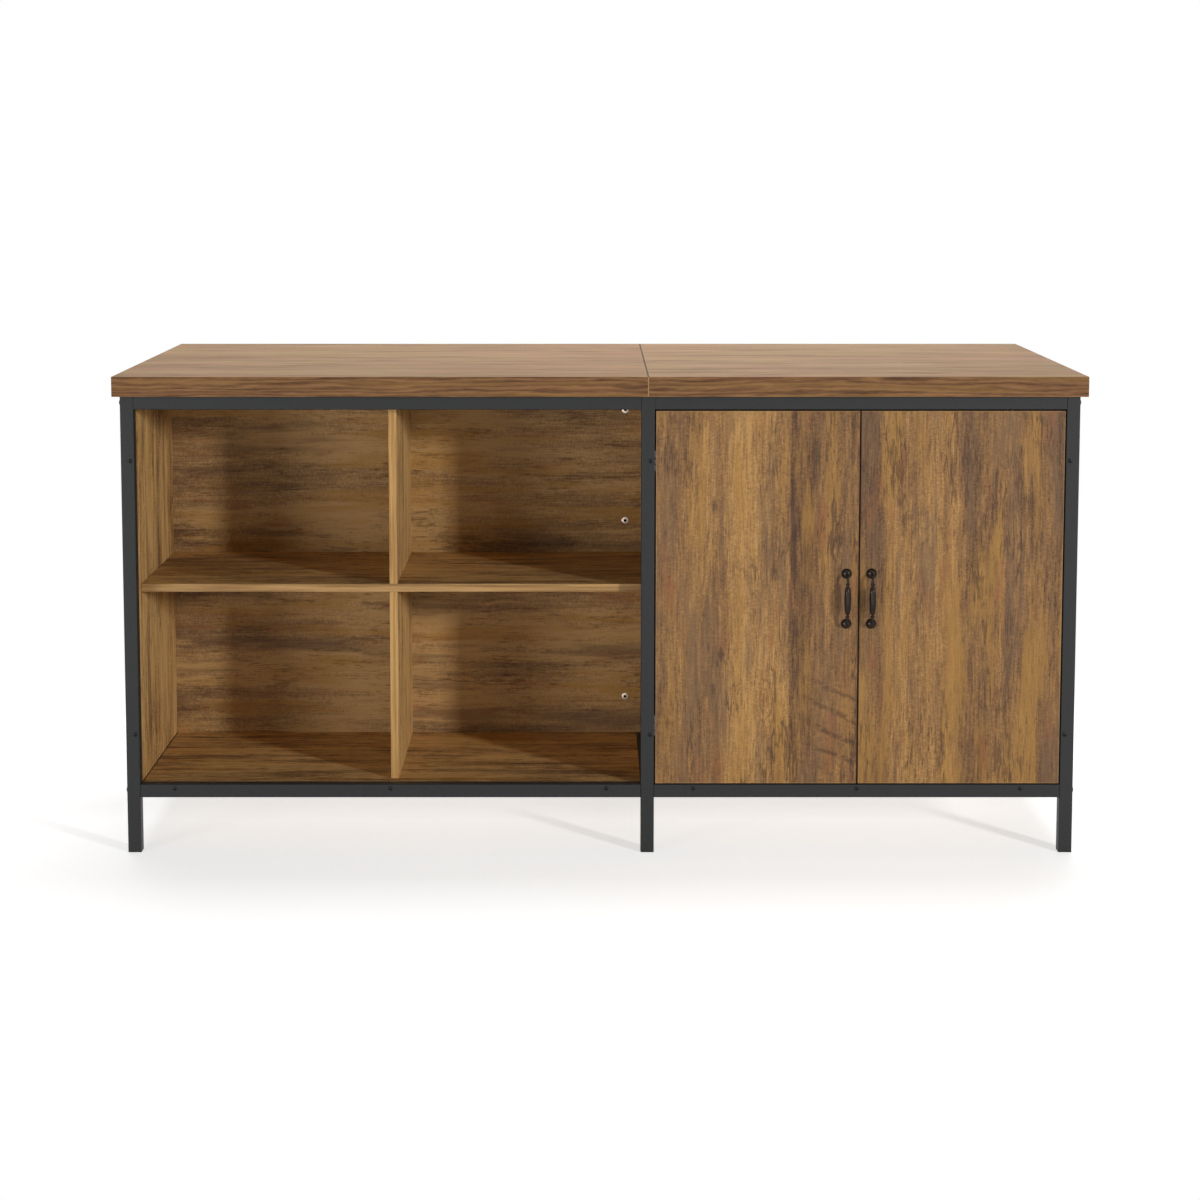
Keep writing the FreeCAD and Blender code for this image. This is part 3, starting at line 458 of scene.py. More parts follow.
    def make(self) -> bpy.types.Material:
        """The finished material.

        Returns:
            Material with colour, roughness and relief.
        """
        sheet = Sheet(bpy.data.materials.new(self.name))
        place = sheet.place()
        drift = self._layer(sheet, place, 8.0, 3.0, 0.0, 3.0, 0.5, 1)
        bent = sheet.stretched(drift, (self.wander, self.wander, self.wander), place)
        patches = self._layer(sheet, bent, 13.0, 2.4, 0.0, 5.0, 0.60)
        streaks = self._layer(sheet, bent, 52.0, 2.4, 3.0, 5.0, 0.66)
        threads = self._layer(sheet, bent, 260.0, 16.0, 5.0, 3.0, 0.7)
        ripples = self._layer(sheet, bent, 170.0, 250.0, 6.0, 2.0, 0.7)
        crowd = self._layer(sheet, bent, 14.0, 6.0, 7.0, 4.0, 0.6)
        tone = (patches - 0.5) * self.patch + (streaks - 0.5) * self.streak + (threads - 0.5) * self.thread
        tone = tone + (ripples - 0.5) * self.chatter
        tone = tone + (self._plank_tone(sheet) if self.planks else self.tone)
        tone = tone - crowd.above(0.54, 0.78) * self.blotch
        if self.knots:
            tone = tone - self._knot_tone(sheet, streaks)
        marks = self._marks(sheet, bent, crowd)
        colour = sheet.mix(self._tinted(sheet, bent, tone), self.pore_colour, marks * self.pore)
        colour = self._trimmed(sheet, bent, colour)
        rough = self.roughness + (streaks - 0.5) * 0.12
        values = {"Base Color": colour, "Roughness": rough, "Specular IOR Level": self.gloss}
        return sheet.finish(values, threads * 0.35 - marks * 0.8, PRINT_RELIEF)


@dataclass(frozen=True)
class TopOak:
    """Straight-grained greyish oak of the worktop, with browner, more figured edges."""

    name: str
    seed: float
    seam: float
    pale: tuple = paint(171, 140, 107)
    deep: tuple = paint(117, 90, 66)
    green: tuple = paint(156, 132, 96)
    rose: tuple = paint(162, 124, 100)
    pore_colour: tuple = paint(92, 66, 48)
    edge_pale: tuple = paint(146, 106, 68)
    edge_deep: tuple = paint(84, 56, 36)
    edge_gold: tuple = paint(142, 106, 60)
    edge_russet: tuple = paint(116, 76, 52)
    seam_shade: tuple = paint(50, 34, 24)
    seam_pale: tuple = paint(196, 152, 104)

    def _offset(self) -> tuple:
        """Sets this half's pattern apart from the other's."""
        return (self.seed * 2.3, self.seed * 5.1, self.seed)

    def _layer(self, sheet: Sheet, place: Signal, scale: tuple, detail: float, rough: float) -> Signal:
        """Noise with its own cells to a metre along each axis."""
        return sheet.noise(sheet.stretched(place, scale, self._offset()), 1.0, detail, rough)

    def _edge(self, sheet: Sheet, bent: Signal, tints: Signal) -> Signal:
        """Colour of the worktop's upright faces.

        Args:
            sheet: The material's nodes.
            bent: Place on the worktop, with its wander.
            tints: Noise that picks golden and russet places.

        Returns:
            The colour.
        """
        figure = sheet.waves("Z", sheet.stretched(bent, (3.4, 3.4, 26.0), self._offset()),
                             {"Scale": 1.3, "Distortion": 12.0, "Detail": 4.0, "Detail Scale": 0.9,
                              "Detail Roughness": 0.66})
        flecks = self._layer(sheet, bent, (11.0, 30.0, 110.0), 4.0, 0.7)
        tone = figure * 0.62 + (flecks - 0.5) * 2.0 + 0.26
        edge = sheet.mix(self.edge_deep, self.edge_pale, tone.clamped())
        edge = sheet.mix(edge, self.edge_gold, tints.above(0.50, 0.64) * 0.5)
        return sheet.mix(edge, self.edge_russet, (1 - tints.above(0.34, 0.48)) * 0.45)

    def make(self) -> bpy.types.Material:
        """The finished material.

        Returns:
            Material with colour, roughness and relief.
        """
        sheet = Sheet(bpy.data.materials.new(self.name))
        place = sheet.place()
        drift = self._layer(sheet, place, (1.6, 6.0, 12.0), 3.0, 0.6)
        bent = sheet.stretched(place, (1.0, 1.0, 1.0), drift * 0.03)
        bands = self._layer(sheet, bent, (0.9, 14.0, 14.0), 4.0, 0.6)
        lines = self._layer(sheet, bent, (3.0, 44.0, 130.0), 4.0, 0.72)
        tints = self._layer(sheet, bent, (2.2, 22.0, 80.0), 3.0, 0.6)
        pores = self._layer(sheet, bent, (26.0, 700.0, 700.0), 2.0, 0.5)
        fine = self._layer(sheet, bent, (5.0, 100.0, 100.0), 2.0, 0.6)
        tone = 0.5 + (bands - 0.5) * 2.0 + (lines - 0.5) * 1.7 + (fine - 0.5) * 2.8
        top = sheet.mix(self.deep, self.pale, tone.clamped())
        top = sheet.mix(top, self.green, tints.above(0.48, 0.62) * 0.65)
        top = sheet.mix(top, self.rose, (1 - tints.above(0.36, 0.50)) * 0.6)
        flat = sheet.facing(Axis.Z).above(0.35, 0.6)
        colour = sheet.mix(self._edge(sheet, bent, tints), top, flat)
        across = sheet.split(place)[0]
        colour = sheet.mix(colour, self.seam_shade, across.stripe(self.seam, 0.7e-6, 2.8e-6) * flat)
        joint = across.stripe(self.seam, 0.2e-6, 1.1e-6) * (1 - flat)
        colour = sheet.mix(colour, self.seam_pale, joint * 0.8)
        dots = pores.above(0.62, 0.70)
        colour = sheet.mix(colour, self.pore_colour, dots * 0.35)
        rough = 0.64 + (lines - 0.5) * 0.15
        values = {"Base Color": colour, "Roughness": rough, "Specular IOR Level": 0.2}
        return sheet.finish(values, lines * 0.4 - dots * 0.7, PRINT_RELIEF)


@dataclass(frozen=True)
class Coating:
    """Painted, plated, cast or moulded finish with a faint texture."""

    name: str
    colour: tuple
    second: tuple
    metallic: float
    roughness: float
    grain: float
    depth: float = 0.01 * MM
    gloss: float = 0.32
    lacquer: float = 0.0
    lacquer_roughness: float = 0.08

    def make(self) -> bpy.types.Material:
        """The finished material.

        Returns:
            Material with colour, roughness and relief.
        """
        sheet = Sheet(bpy.data.materials.new(self.name))
        place = sheet.place()
        cloud = sheet.noise(place, self.grain / 12, 3.0, 0.6)
        speck = sheet.noise(place, self.grain, 2.0, 0.6)
        share = (cloud.above(0.35, 0.65) * 0.6 + (speck - 0.5) * 0.5).clamped()
        values = {
            "Base Color": sheet.mix(self.colour, self.second, share),
            "Metallic": self.metallic,
            "Roughness": self.roughness + (cloud - 0.5) * 0.10 + (speck - 0.5) * 0.08,
            "Specular IOR Level": self.gloss,
            "Coat Weight": self.lacquer,
            "Coat Roughness": self.lacquer_roughness,
        }
        return sheet.finish(values, speck, self.depth)


class Finishes:
    """The island's materials other than printed oak."""

    def __init__(self) -> None:
        """Makes the finishes."""
        self.frame = Coating("charcoal powder coat", paint(35, 36, 36), paint(30, 31, 32),
                             metallic=0.0, roughness=0.5, grain=2600.0, depth=0.03 * MM).make()
        self.bronze = Coating("antique bronze", paint(34, 23, 16), paint(15, 10, 8),
                              metallic=0.8, roughness=0.2, grain=900.0, gloss=0.4, lacquer=0.25).make()
        self.black_screw = Coating("black oxide", paint(34, 34, 35), paint(22, 22, 23),
                                   metallic=0.6, roughness=0.3, grain=2400.0).make()
        self.zinc = Coating("bright zinc", paint(196, 196, 192), paint(170, 171, 170),
                            metallic=1.0, roughness=0.34, grain=1800.0).make()
        self.nickel = Coating("nickel plate", paint(206, 202, 194), paint(184, 180, 172),
                              metallic=1.0, roughness=0.26, grain=1500.0).make()
        self.cam = Coating("zinc casting", paint(236, 222, 204), paint(216, 200, 182),
                           metallic=0.9, roughness=0.38, grain=1500.0, depth=0.03 * MM).make()
        # Painted shade: near-black laid inside the cams' driver holes, where only shade falls.
        self.recess = Coating("shaded recess", paint(24, 18, 15), paint(18, 14, 12),
                              metallic=0.0, roughness=0.8, grain=1500.0, gloss=0.0).make()
        self.plastic = Coating("black moulding", paint(26, 26, 27), paint(20, 20, 21),
                               metallic=0.0, roughness=0.5, grain=1600.0, depth=0.04 * MM).make()
        pale = (paint(170, 130, 88), paint(190, 150, 104), paint(206, 168, 122), paint(214, 180, 136),
                paint(222, 190, 148))
        self.beech = Oak("bare beech", Axis.X, 8.0, tones=pale, patch=0.3, streak=0.6, pore=0.1).make()


def dress(name: str, material: bpy.types.Material) -> bpy.types.Object:
    """Gives a carried-over node its material.

    Args:
        name: The node.
        material: What it wears.

    Returns:
        The node's object.
    """
    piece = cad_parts[name]
    piece.data.materials.clear()
    piece.data.materials.append(material)
    LOG.info("%s wears %s", name, material.name)
    return piece


def ease(piece: bpy.types.Object, width: float) -> None:
    """Rounds a carried-over piece's sharp edges a little.

    Args:
        piece: The node's object.
        width: Width of the rounding in metres.
    """
    weld = piece.modifiers.new("weld", "WELD")
    weld.merge_threshold = WELD_REACH
    bevel = piece.modifiers.new("eased edges", "BEVEL")
    bevel.width = width
    bevel.segments = 2
    bevel.limit_method = "ANGLE"
    bevel.angle_limit = EASE_ANGLE
    bevel.harden_normals = True


def metres(profile: tuple) -> list:
    """Pairs of millimetres as pairs of metres."""
    return [(radius * MM, height * MM) for radius, height in profile]


def corners(points: list) -> tuple[list, list]:
    """Low and high corner of the box round some points."""
    low, high = ([pick(point[axis] for point in points) for axis in range(3)] for pick in (min, max))
    return low, high


def loose_parts(node: str) -> list:
    """Points of each separate part of a carried-over node.

    Args:
        node: The node.

    Returns:
        One list of points for each part, ordered by where the parts are.
    """
    copy = bmesh.new()
    copy.from_mesh(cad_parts[node].data)
    bmesh.ops.remove_doubles(copy, verts=copy.verts, dist=WELD_REACH)
    left = set(copy.verts)
    parts = []
    while left:
        edge = [left.pop()]
        part = []
        while edge:
            vertex = edge.pop()
            part.append(vertex.co.copy())
            for link in vertex.link_edges:
                other = link.other_vert(vertex)
                if other in left:
                    left.discard(other)
                    edge.append(other)
        parts.append(part)
    copy.free()
    sums = [tuple(round(sum(point[axis] for point in part), 5) for axis in range(3)) for part in parts]
    return [parts[number] for number in sorted(range(len(parts)), key=sums.__getitem__)]


class Draft:
    """Mesh of one visible piece, gathered from turned, swept and cut shapes."""

    bar_sides = 20

    def __init__(self) -> None:
        """Starts empty."""
        self.mesh = bmesh.new()
        self.finish_number = 0

    def _bridge(self, rings: list, capped: bool = True) -> None:
        """Joins rings of vertices, where a ring of one vertex is a pole.

        Args:
            rings: Rings in order along the shape.
            capped: Whether open ends are closed.
        """
        for lower, upper in zip(rings, rings[1:]):
            count = max(len(lower), len(upper))
            for number in range(count):
                after = (number + 1) % count
                square = [lower[number % len(lower)], lower[after % len(lower)],
                          upper[after % len(upper)], upper[number % len(upper)]]
                self.mesh.faces.new(list(dict.fromkeys(square))).material_index = self.finish_number
        for ring in (rings[0], rings[-1]):
            if capped and len(ring) > 2:
                self.mesh.faces.new(ring).material_index = self.finish_number

    def turn(self, profile: list, place: Matrix, sides: int, capped: bool = True) -> None:
        """Adds a shape turned about the local Z axis.

        Args:
            profile: Radius and height pairs in order, in metres.
            place: Where the shape goes.
            sides: Sides of a ring.
            capped: Whether open ends are closed.
        """
        rings = []
        for radius, height in profile:
            ring = []
            for number in range(sides if radius else 1):
                turn = 2 * math.pi * number / sides
                point = Vector((radius * math.cos(turn), radius * math.sin(turn), height))
                ring.append(self.mesh.verts.new(place @ point))
            rings.append(ring)
        self._bridge(rings, capped)

    def sweep(self, path: list, radius: float) -> None:
        """Adds a round bar along a path in a plane of constant X.

        Args:
            path: Points in order.
            radius: The bar's radius.
        """
        rings = []
        side = Vector((1.0, 0.0, 0.0))
        for number, point in enumerate(path):
            heading = (path[min(number + 1, len(path) - 1)] - path[max(number - 1, 0)]).normalized()
            other = heading.cross(side)
            ring = []
            for step in range(self.bar_sides):
                turn = 2 * math.pi * step / self.bar_sides
                out = side * math.cos(turn) + other * math.sin(turn)
                ring.append(self.mesh.verts.new(point + out * radius))
            rings.append(ring)
        self._bridge(rings)

    def prism(self, outline: list, low: float, high: float) -> None:
        """Adds an upright prism between two heights on an outline of X and Y pairs."""
        self._bridge([[self.mesh.verts.new((x, y, z)) for x, y in outline] for z in (low, high)])

    def solid(self, name: str) -> bpy.types.Object:
        """The gathered mesh as an object with outward faces.

        Args:
            name: The object's name.

        Returns:
            The new object, in the scene.
        """
        bmesh.ops.recalc_face_normals(self.mesh, faces=self.mesh.faces)
        mesh = bpy.data.meshes.new(name)
        self.mesh.to_mesh(mesh)
        self.mesh.free()
        piece = bpy.data.objects.new(name, mesh)
        bpy.context.scene.collection.objects.link(piece)
        return piece

    def cut_by(self, cutter: "Draft") -> bpy.types.Mesh:
        """The gathered mesh with another one cut out of it.

        Args:
            cutter: The shape to cut out.

        Returns:
            The cut mesh.
        """
        body, tool = self.solid("blank"), cutter.solid("tool")
        cut = body.modifiers.new("cut", "BOOLEAN")
        cut.object = tool
        cut.solver = "EXACT"
        result = bpy.data.meshes.new_from_object(body.evaluated_get(bpy.context.evaluated_depsgraph_get()))
        for spare in (body, tool):
            bpy.data.objects.remove(spare)
        return result

    def add(self, mesh: bpy.types.Mesh, place: Matrix) -> None:
        """Adds a copy of a mesh.

        Args:
            mesh: The mesh to copy.
            place: Where the copy goes.
        """
        copy = mesh.copy()
        copy.transform(place)
        self.mesh.from_mesh(copy)
        bpy.data.meshes.remove(copy)

    def finish(self, node: str, name: str, materials: list, slot: str, body: str = "root") -> None:
        """Puts the piece in the place of a carried-over node.

        Args:
            node: The node that the piece stands for.
            name: The piece's name.
            materials: What it wears, in the order of the finish numbers.
            slot: Not used.
            body: The body that carries it.
        """
        piece = self.solid(name)
        piece.data.shade_smooth()
        piece.data.set_sharp_from_angle(angle=SHARP_ANGLE)
        for material in materials:
            piece.data.materials.append(material)
        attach(piece, body)
        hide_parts(node)
        LOG.info("%s stands for %s in %s", name, node, materials[0].name)


class Drive(Enum):
    """Recess in a fastener's head."""

    CROSS = "cross"
    HEX = "hex"


@dataclass(frozen=True)
class Fastener:
    """Domed screw with a driver recess, drawn once and set in every place of a node.

    hex_turn keeps the corners of a hex recess off the lines of the head's rings.
    """

    head: float
    height: float
    shank: float
    drive: Drive
    across: float
    sides: int = 24
    hex_turn: float = 0.1
    first_spin: float = 37.0
    spin_step: float = 61.0

    def _recess(self) -> Draft:
        """The driver recess, as a shape to cut out.

        Returns:
            The shape.
        """
        tool = Draft()
        half, arm = self.across / 2, self.across / 7
        if self.drive is Drive.HEX:
            turns = [math.pi * step / 3 + self.hex_turn for step in range(6)]
            outline = [(half * math.cos(turn), half * math.sin(turn)) for turn in turns]
        else:
            outline = [(half, -arm), (half, arm), (arm, arm), (arm, half), (-arm, half), (-arm, arm),
                       (-half, arm), (-half, -arm), (-arm, -arm), (-arm, -half), (arm, -half), (arm, -arm)]
        tool.prism(outline, self.height * 0.25, self.height * 2)
        return tool

    def _pattern(self, length: float) -> bpy.types.Mesh:
        """One fastener with its head's seat at the origin and its head towards +Z.

        Args:
            length: From the head's top to the shank's end.

        Returns:
            The mesh.
        """
        blank = Draft()
        radius, stem = self.head / 2, self.height - length
        turns = [math.radians(step * 11) for step in range(8)]
        crown = [(radius * math.cos(turn), self.height * (0.35 + 0.65 * math.sin(turn))) for turn in turns]
        profile = [(0.0, stem), (self.shank * 0.35, stem), (self.shank / 2, stem + self.shank * 0.4),
                   (self.shank / 2, 0.0), (radius, 0.0), *crown, (0.0, self.height)]
        blank.turn(profile, Matrix(), self.sides)
        return blank.cut_by(self._recess())

    @staticmethod
    def _outward(part: list, middle: Vector, along: int, length: float) -> Vector:
        """Which way a carried-over fastener's head points, which is its wider end.

        Args:
            part: The fastener's points.
            middle: Middle of its box.
            along: Number of the axis that it lies along.
            length: Its length.

        Returns:
            Unit vector out of the head.
        """
        reach = {-1: 0.0, 1: 0.0}
        for point in part:
            for sign in reach:
                if (point[along] - middle[along]) * sign > 0.3 * length:
                    away = point - middle
                    away[along] = 0.0
                    reach[sign] = max(reach[sign], away.length)
        outward = Vector()
        outward[along] = max(reach, key=reach.get)
        return outward

    def build(self, node: str, name: str, material: bpy.types.Material, slot: str) -> None:
        """Sets the fastener in each place of the node.

        Args:
            node: The carried-over node.
            name: The new piece's name.
            material: What it wears.
            slot: Handed on to Draft.finish, which does not use it.
        """
        parts = loose_parts(node)
        spans = [above - below for below, above in zip(*corners(parts[0]))]
        length = max(spans)
        along = spans.index(length)
        pattern = self._pattern(length)
        draft = Draft()
        for number, part in enumerate(parts):
            low, high = corners(part)
            middle = Vector(low).lerp(Vector(high), 0.5)
            outward = self._outward(part, middle, along, length)
            seat = Matrix.Translation(middle + outward * (length / 2 - self.height))
            aim = outward.to_track_quat("Z", "Y").to_matrix().to_4x4()
            spin = Matrix.Rotation(math.radians(self.first_spin + number * self.spin_step), 4, "Z")
            draft.add(pattern, seat @ aim @ spin)
        draft.finish(node, name, [material], slot)


@dataclass(frozen=True)
class SpindleHandle:
    """Cast handle of two roses, two bent necks with beads and a turned grip. Profiles are in millimetres."""

    rose: tuple = (
        (9.8, 0.0), (9.8, 1.0), (9.6, 1.7), (9.2, 2.2), (8.9, 3.4), (8.0, 5.0), (6.6, 6.4), (4.6, 7.5),
        (2.9, 8.0), (2.4, 8.4))
    grip: tuple = (
        (2.5, -26.6), (3.1, -26.3), (3.5, -25.6), (4.4, -24.9), (5.1, -24.2), (5.3, -23.3), (5.1, -22.5),
        (4.1, -22.1), (4.1, -21.3), (5.1, -20.9), (5.5, -20.1), (5.75, -16.5), (6.05, -11.5), (6.25, -6.0),
        (6.3, 0.0))
    bead: tuple = ((2.5, -1.9), (3.3, -1.6), (3.9, -0.8), (4.05, 0.0), (3.9, 0.8), (3.3, 1.6), (2.5, 1.9))
    neck_radius: float = 2.5 * MM
    neck_outs: tuple = (5.0, 8.0, 10.0)
    neck_end: float = 24 * MM
    bend: float = 10 * MM
    bend_steps: int = 12
    centres: float = 96 * MM
    axis_out: float = 21.5 * MM
    bead_height: float = 16.9 * MM
    sides: int = 40
    bead_sides: int = 28

    def _neck(self, foot: Vector, sign: int, end: float) -> list:
        """Middle line of one neck, out of the door and round towards the grip.

        Args:
            foot: Middle of the rose on the door's face.
            sign: 1 for the upper neck, -1 for the lower.
            end: Height where the neck ends inside the grip.

        Returns:
            Points in order.
        """
        centre = foot + Vector((0.0, -(self.axis_out - self.bend), -sign * self.bend))
        path = [foot + Vector((0.0, -out * MM, 0.0)) for out in self.neck_outs]
        for step in range(1, self.bend_steps + 1):
            turn = math.pi / 2 * step / self.bend_steps
            bent = Vector((0.0, -math.sin(turn) * self.bend, sign * math.cos(turn) * self.bend))
            path.append(centre + bent)
        path.append(Vector((foot.x, foot.y - self.axis_out, end)))
        return path

    def build(self, side: str, material: bpy.types.Material) -> None:
        """Makes one door's handle.

        Args:
            side: The door.
            material: What it wears.
        """
        node = side + "_handle"
        low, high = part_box(node)
        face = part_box(side + "_door")[0].y
        middle = Vector(((low.x + high.x) / 2, face, (low.z + high.z) / 2))
        draft = Draft()
        for sign in (1, -1):
            foot = middle + Vector((0.0, 0.0, sign * self.centres / 2))
            draft.turn(metres(self.rose), Matrix.Translation(foot) @ FORWARD, self.sides)
            draft.sweep(self._neck(foot, sign, middle.z + sign * self.neck_end), self.neck_radius)
            bead = Vector((foot.x, foot.y - self.axis_out, foot.z - sign * self.bead_height))
            draft.turn(metres(self.bead), Matrix.Translation(bead), self.bead_sides)
        upper = tuple((radius, -height) for radius, height in reversed(self.grip[:-1]))
        barrel = Matrix.Translation(middle - Vector((0.0, self.axis_out, 0.0)))
        draft.turn(metres(self.grip + upper), barrel, self.sides)
        draft.finish(node, side + "_spindle_handle", [material], "handle_bronze", side + "_door")


@dataclass(frozen=True)
class CamLock:
    """Cam disc with an eased rim and a round driver hole. Profiles are in millimetres."""

    disc: tuple = ((0.0, -12.0), (7.2, -12.0), (7.2, -0.5), (7.0, -0.15), (6.6, 0.0), (3.2, 0.0), (2.9, -0.3))
    hole: tuple = ((2.9, -0.3), (2.8, -4.0), (0.0, -4.0))
    sides: int = 32
    weld: float = 0.001 * MM

    def build(self, material: bpy.types.Material, dark: bpy.types.Material) -> None:
        """Sets the discs.

        Args:
            material: What they wear.
            dark: Painted shade for the inside of the driver holes.
        """
        draft = Draft()
        for part in loose_parts("cam_locks"):
            low, high = corners(part)
            middle = Vector(((low[0] + high[0]) / 2, low[1], (low[2] + high[2]) / 2))
            for number, profile in enumerate((self.disc, self.hole)):
                draft.finish_number = number
                draft.turn(metres(profile), Matrix.Translation(middle) @ FORWARD, self.sides, False)
            bmesh.ops.remove_doubles(draft.mesh, verts=draft.mesh.verts, dist=self.weld)
        draft.finish("cam_locks", "cam_discs", [material, dark], "cam_zinc")


@dataclass(frozen=True)
class TubeFrame:
    """Three ladder frames of square steel tube, the rails between them and their end hardware."""

    corner: float = 0.8 * MM
    sides: tuple = ("left", "mid", "right")
    uprights: tuple = ("_front_post", "_rear_post", "_back_post", "_top_depth_rail", "_bottom_depth_rail")
    rails: tuple = ("front_top_rail_", "front_bottom_rail_", "rear_top_rail_", "inner_bottom_rail_")
    bays: tuple = ("left", "right")
    screw: Fastener = Fastener(8.4 * MM, 2.0 * MM, 4.0 * MM, Drive.CROSS, 4.8 * MM)
    bolt: Fastener = Fastener(10.5 * MM, 3.3 * MM, 6.0 * MM, Drive.HEX, 4.6 * MM)

    def build(self, finishes: Finishes) -> None:
        """Dresses the tubes and their plugs and bolts.

        Args:
            finishes: The island's finishes.
        """
        names = [side + part for side in self.sides for part in self.uprights]
        names += [rail + bay for rail in self.rails for bay in self.bays]
        for name in names:
            ease(dress(name, finishes.frame), self.corner)
        for name in ("rail_end_plugs", "foot_plugs"):
            dress(name, finishes.plastic)
        dress("mid_frame_studs", finishes.black_screw)
        self.screw.build("post_screws", "post_screw_heads", finishes.black_screw, "black_screw_steel")
        self.screw.build("rail_screws", "rail_screw_heads", finishes.black_screw, "black_screw_steel")
        self.bolt.build("end_frame_bolts", "end_bolt_heads", finishes.black_screw, "black_screw_steel")


@dataclass(frozen=True)
class Carcass:
    """Boards of the shelves and the cupboard, with cams, dowels and pins."""

    edge: float = 0.35 * MM
    light_tones: tuple = (
        paint(98, 72, 48), paint(130, 98, 66), paint(160, 124, 82), paint(188, 149, 98), paint(218, 177, 116))
    back_tones: tuple = (
        paint(78, 57, 40), paint(110, 85, 60), paint(138, 107, 74), paint(162, 128, 86), paint(190, 153, 102))
    # Tone across each back panel, darker towards its left end and a little darker at its right; both panels
    # get the same.
    back_tone_across: tuple = ((0.0, 0.68), (0.12, 0.72), (0.24, 0.96), (0.60, 1.0), (0.85, 0.86), (1.0, 0.86))
    shelf_band: EdgeBand = EdgeBand(pale=paint(190, 150, 98), deep=paint(144, 108, 66))

    def _boards(self) -> dict[str, Oak]:
        """Look of every board by its node, where a seed sets the boards of a kind apart and a tone sets how
        light each board is; these tones are painted light, raised where the lamps leave a board too dark.

        Returns:
            The looks.
        """
        looks = {}
        for name, seed in (("back_panel_left", 1.0), ("back_panel_right", 2.0)):
            low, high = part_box(name)
            looks[name] = Oak("oak " + name, Axis.X, seed, tones=self.back_tones, planks=self.back_tone_across,
                              plank_range=(low.x, high.x), patch=1.8, thread=1.0, pore=0.6, tint=0.6,
                              gloss=0.15)
        # Painted light: the floors' and shelves' tones are raised to stand in for light that the lamps don't
        # give them.
        level = (("floor_panel_left", 3.0, 0.95), ("floor_panel_right", 4.0, 0.95), ("open_shelf", 5.0, 0.85),
                 ("cabinet_shelf", 6.0, 0.85))
        for name, seed, tone in level:
            looks[name] = Oak("oak " + name, Axis.X, seed, tones=self.light_tones, band=self.shelf_band,
                              patch=2.6, streak=3.4, thread=4.0, tone=tone, tint=0.5, gloss=0.2)
        # Painted light: the uprights' tones are raised the same way, the divider's most.
        upright = (("left_side_panel", 1.5, 0.94), ("partition_panel", 2.5, 0.94),
                   ("right_side_panel", 3.5, 0.94), ("divider_panel", 4.5, 1.15))
        for name, seed, tone in upright:
            looks[name] = Oak("oak " + name, Axis.Z, seed, tones=self.light_tones, band=EdgeBand(), patch=3.4,
                              streak=2.4, thread=2.6, chatter=1.6, tone=tone, tint=0.5, gloss=0.2)
        return looks

    def build(self, finishes: Finishes) -> None:
        """Dresses the boards and their fittings.

        Args:
            finishes: The island's finishes.
        """
        for name, oak in self._boards().items():
            ease(dress(name, oak.make()), self.edge)
        CamLock().build(finishes.cam, finishes.recess)
        dress("cam_bolts", finishes.zinc)
        dress("panel_dowels", finishes.beech)
        dress("shelf_pins", finishes.zinc)


@dataclass(frozen=True)
class Doors:
    """Two inset doors with spindle handles and concealed hinges."""

    edge: float = 0.4 * MM
    beyond: float = 1.0
    saw_heights: tuple = (0.02, 0.26)
    left_planks: tuple = (
        (0.0, 0.50), (0.16, 0.56), (0.30, 0.54), (0.38, 0.74), (0.655, 0.78), (0.668, 0.32), (0.78, 0.34),
        (0.83, 0.50), (1.0, 0.48))
    right_planks: tuple = (
        (0.0, 0.36), (0.10, 0.38), (0.15, 0.60), (0.46, 0.66), (0.51, 0.38), (0.62, 0.36), (0.67, 0.52),
        (0.85, 0.44), (1.0, 0.36))
    left_knots: tuple = (
        Knot(0.2157, 0.6663, 0.006, 0.016, 0.55), Knot(0.2284, 0.383, 0.007, 0.014, 0.50),
        Knot(0.2157, 0.317, 0.005, 0.013, 0.45), Knot(0.1297, 0.2514, 0.006, 0.012, 0.50),
        Knot(0.3119, 0.297, 0.010, 0.026, 0.20, True))
    right_knots: tuple = (
        Knot(0.8128, 0.671, 0.020, 0.046, 0.34), Knot(0.794, 0.592, 0.007, 0.011, 0.50),
        Knot(0.728, 0.19, 0.016, 0.045, 0.30))

    def _look(self, side: str) -> Oak:
        """Look of one door, with a painted shade line and no painted highlight on the rim on the side where
        the doors meet.

        Args:
            side: The door.

        Returns:
            The look.
        """
        low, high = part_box(side + "_door")
        # The painted highlight runs round each door's rim but stops short of the meeting edge, where the
        # painted shade line lies.
        if side == "left":
            seed, planks, knots, meeting = 11.0, self.left_planks, self.left_knots, high.x
            rim = (low.x, high.x + self.beyond)
            saw = (((low.x + high.x * 2) / 3, high.x), tuple(low.z + height for height in self.saw_heights))
        else:
            seed, planks, knots, meeting = 12.0, self.right_planks, self.right_knots, low.x
            rim = (low.x - self.beyond, high.x)
            saw = ()
        return Oak("oak " + side + " door", Axis.Z, seed, planks=planks, plank_range=(low.x, high.x),
                   patch=1.0, streak=1.05, thread=1.35, blotch=0.14, wander=0.02, tint=0.6, knots=knots,
                   saw_box=saw, highlight_box=(rim, (low.z, high.z)), meeting=meeting)

    def build(self, finishes: Finishes) -> None:
        """Dresses the doors and their fittings.

        Args:
            finishes: The island's finishes.
        """
        for side in ("left", "right"):
            ease(dress(side + "_door", self._look(side).make()), self.edge)
            SpindleHandle().build(side, finishes.bronze)
            dress(side + "_hinge_cups", finishes.nickel)
            dress(side + "_door_screws", finishes.zinc)
        for name in ("hinge_arms", "hinge_plates"):
            dress(name, finishes.nickel)
        dress("hinge_plate_screws", finishes.zinc)


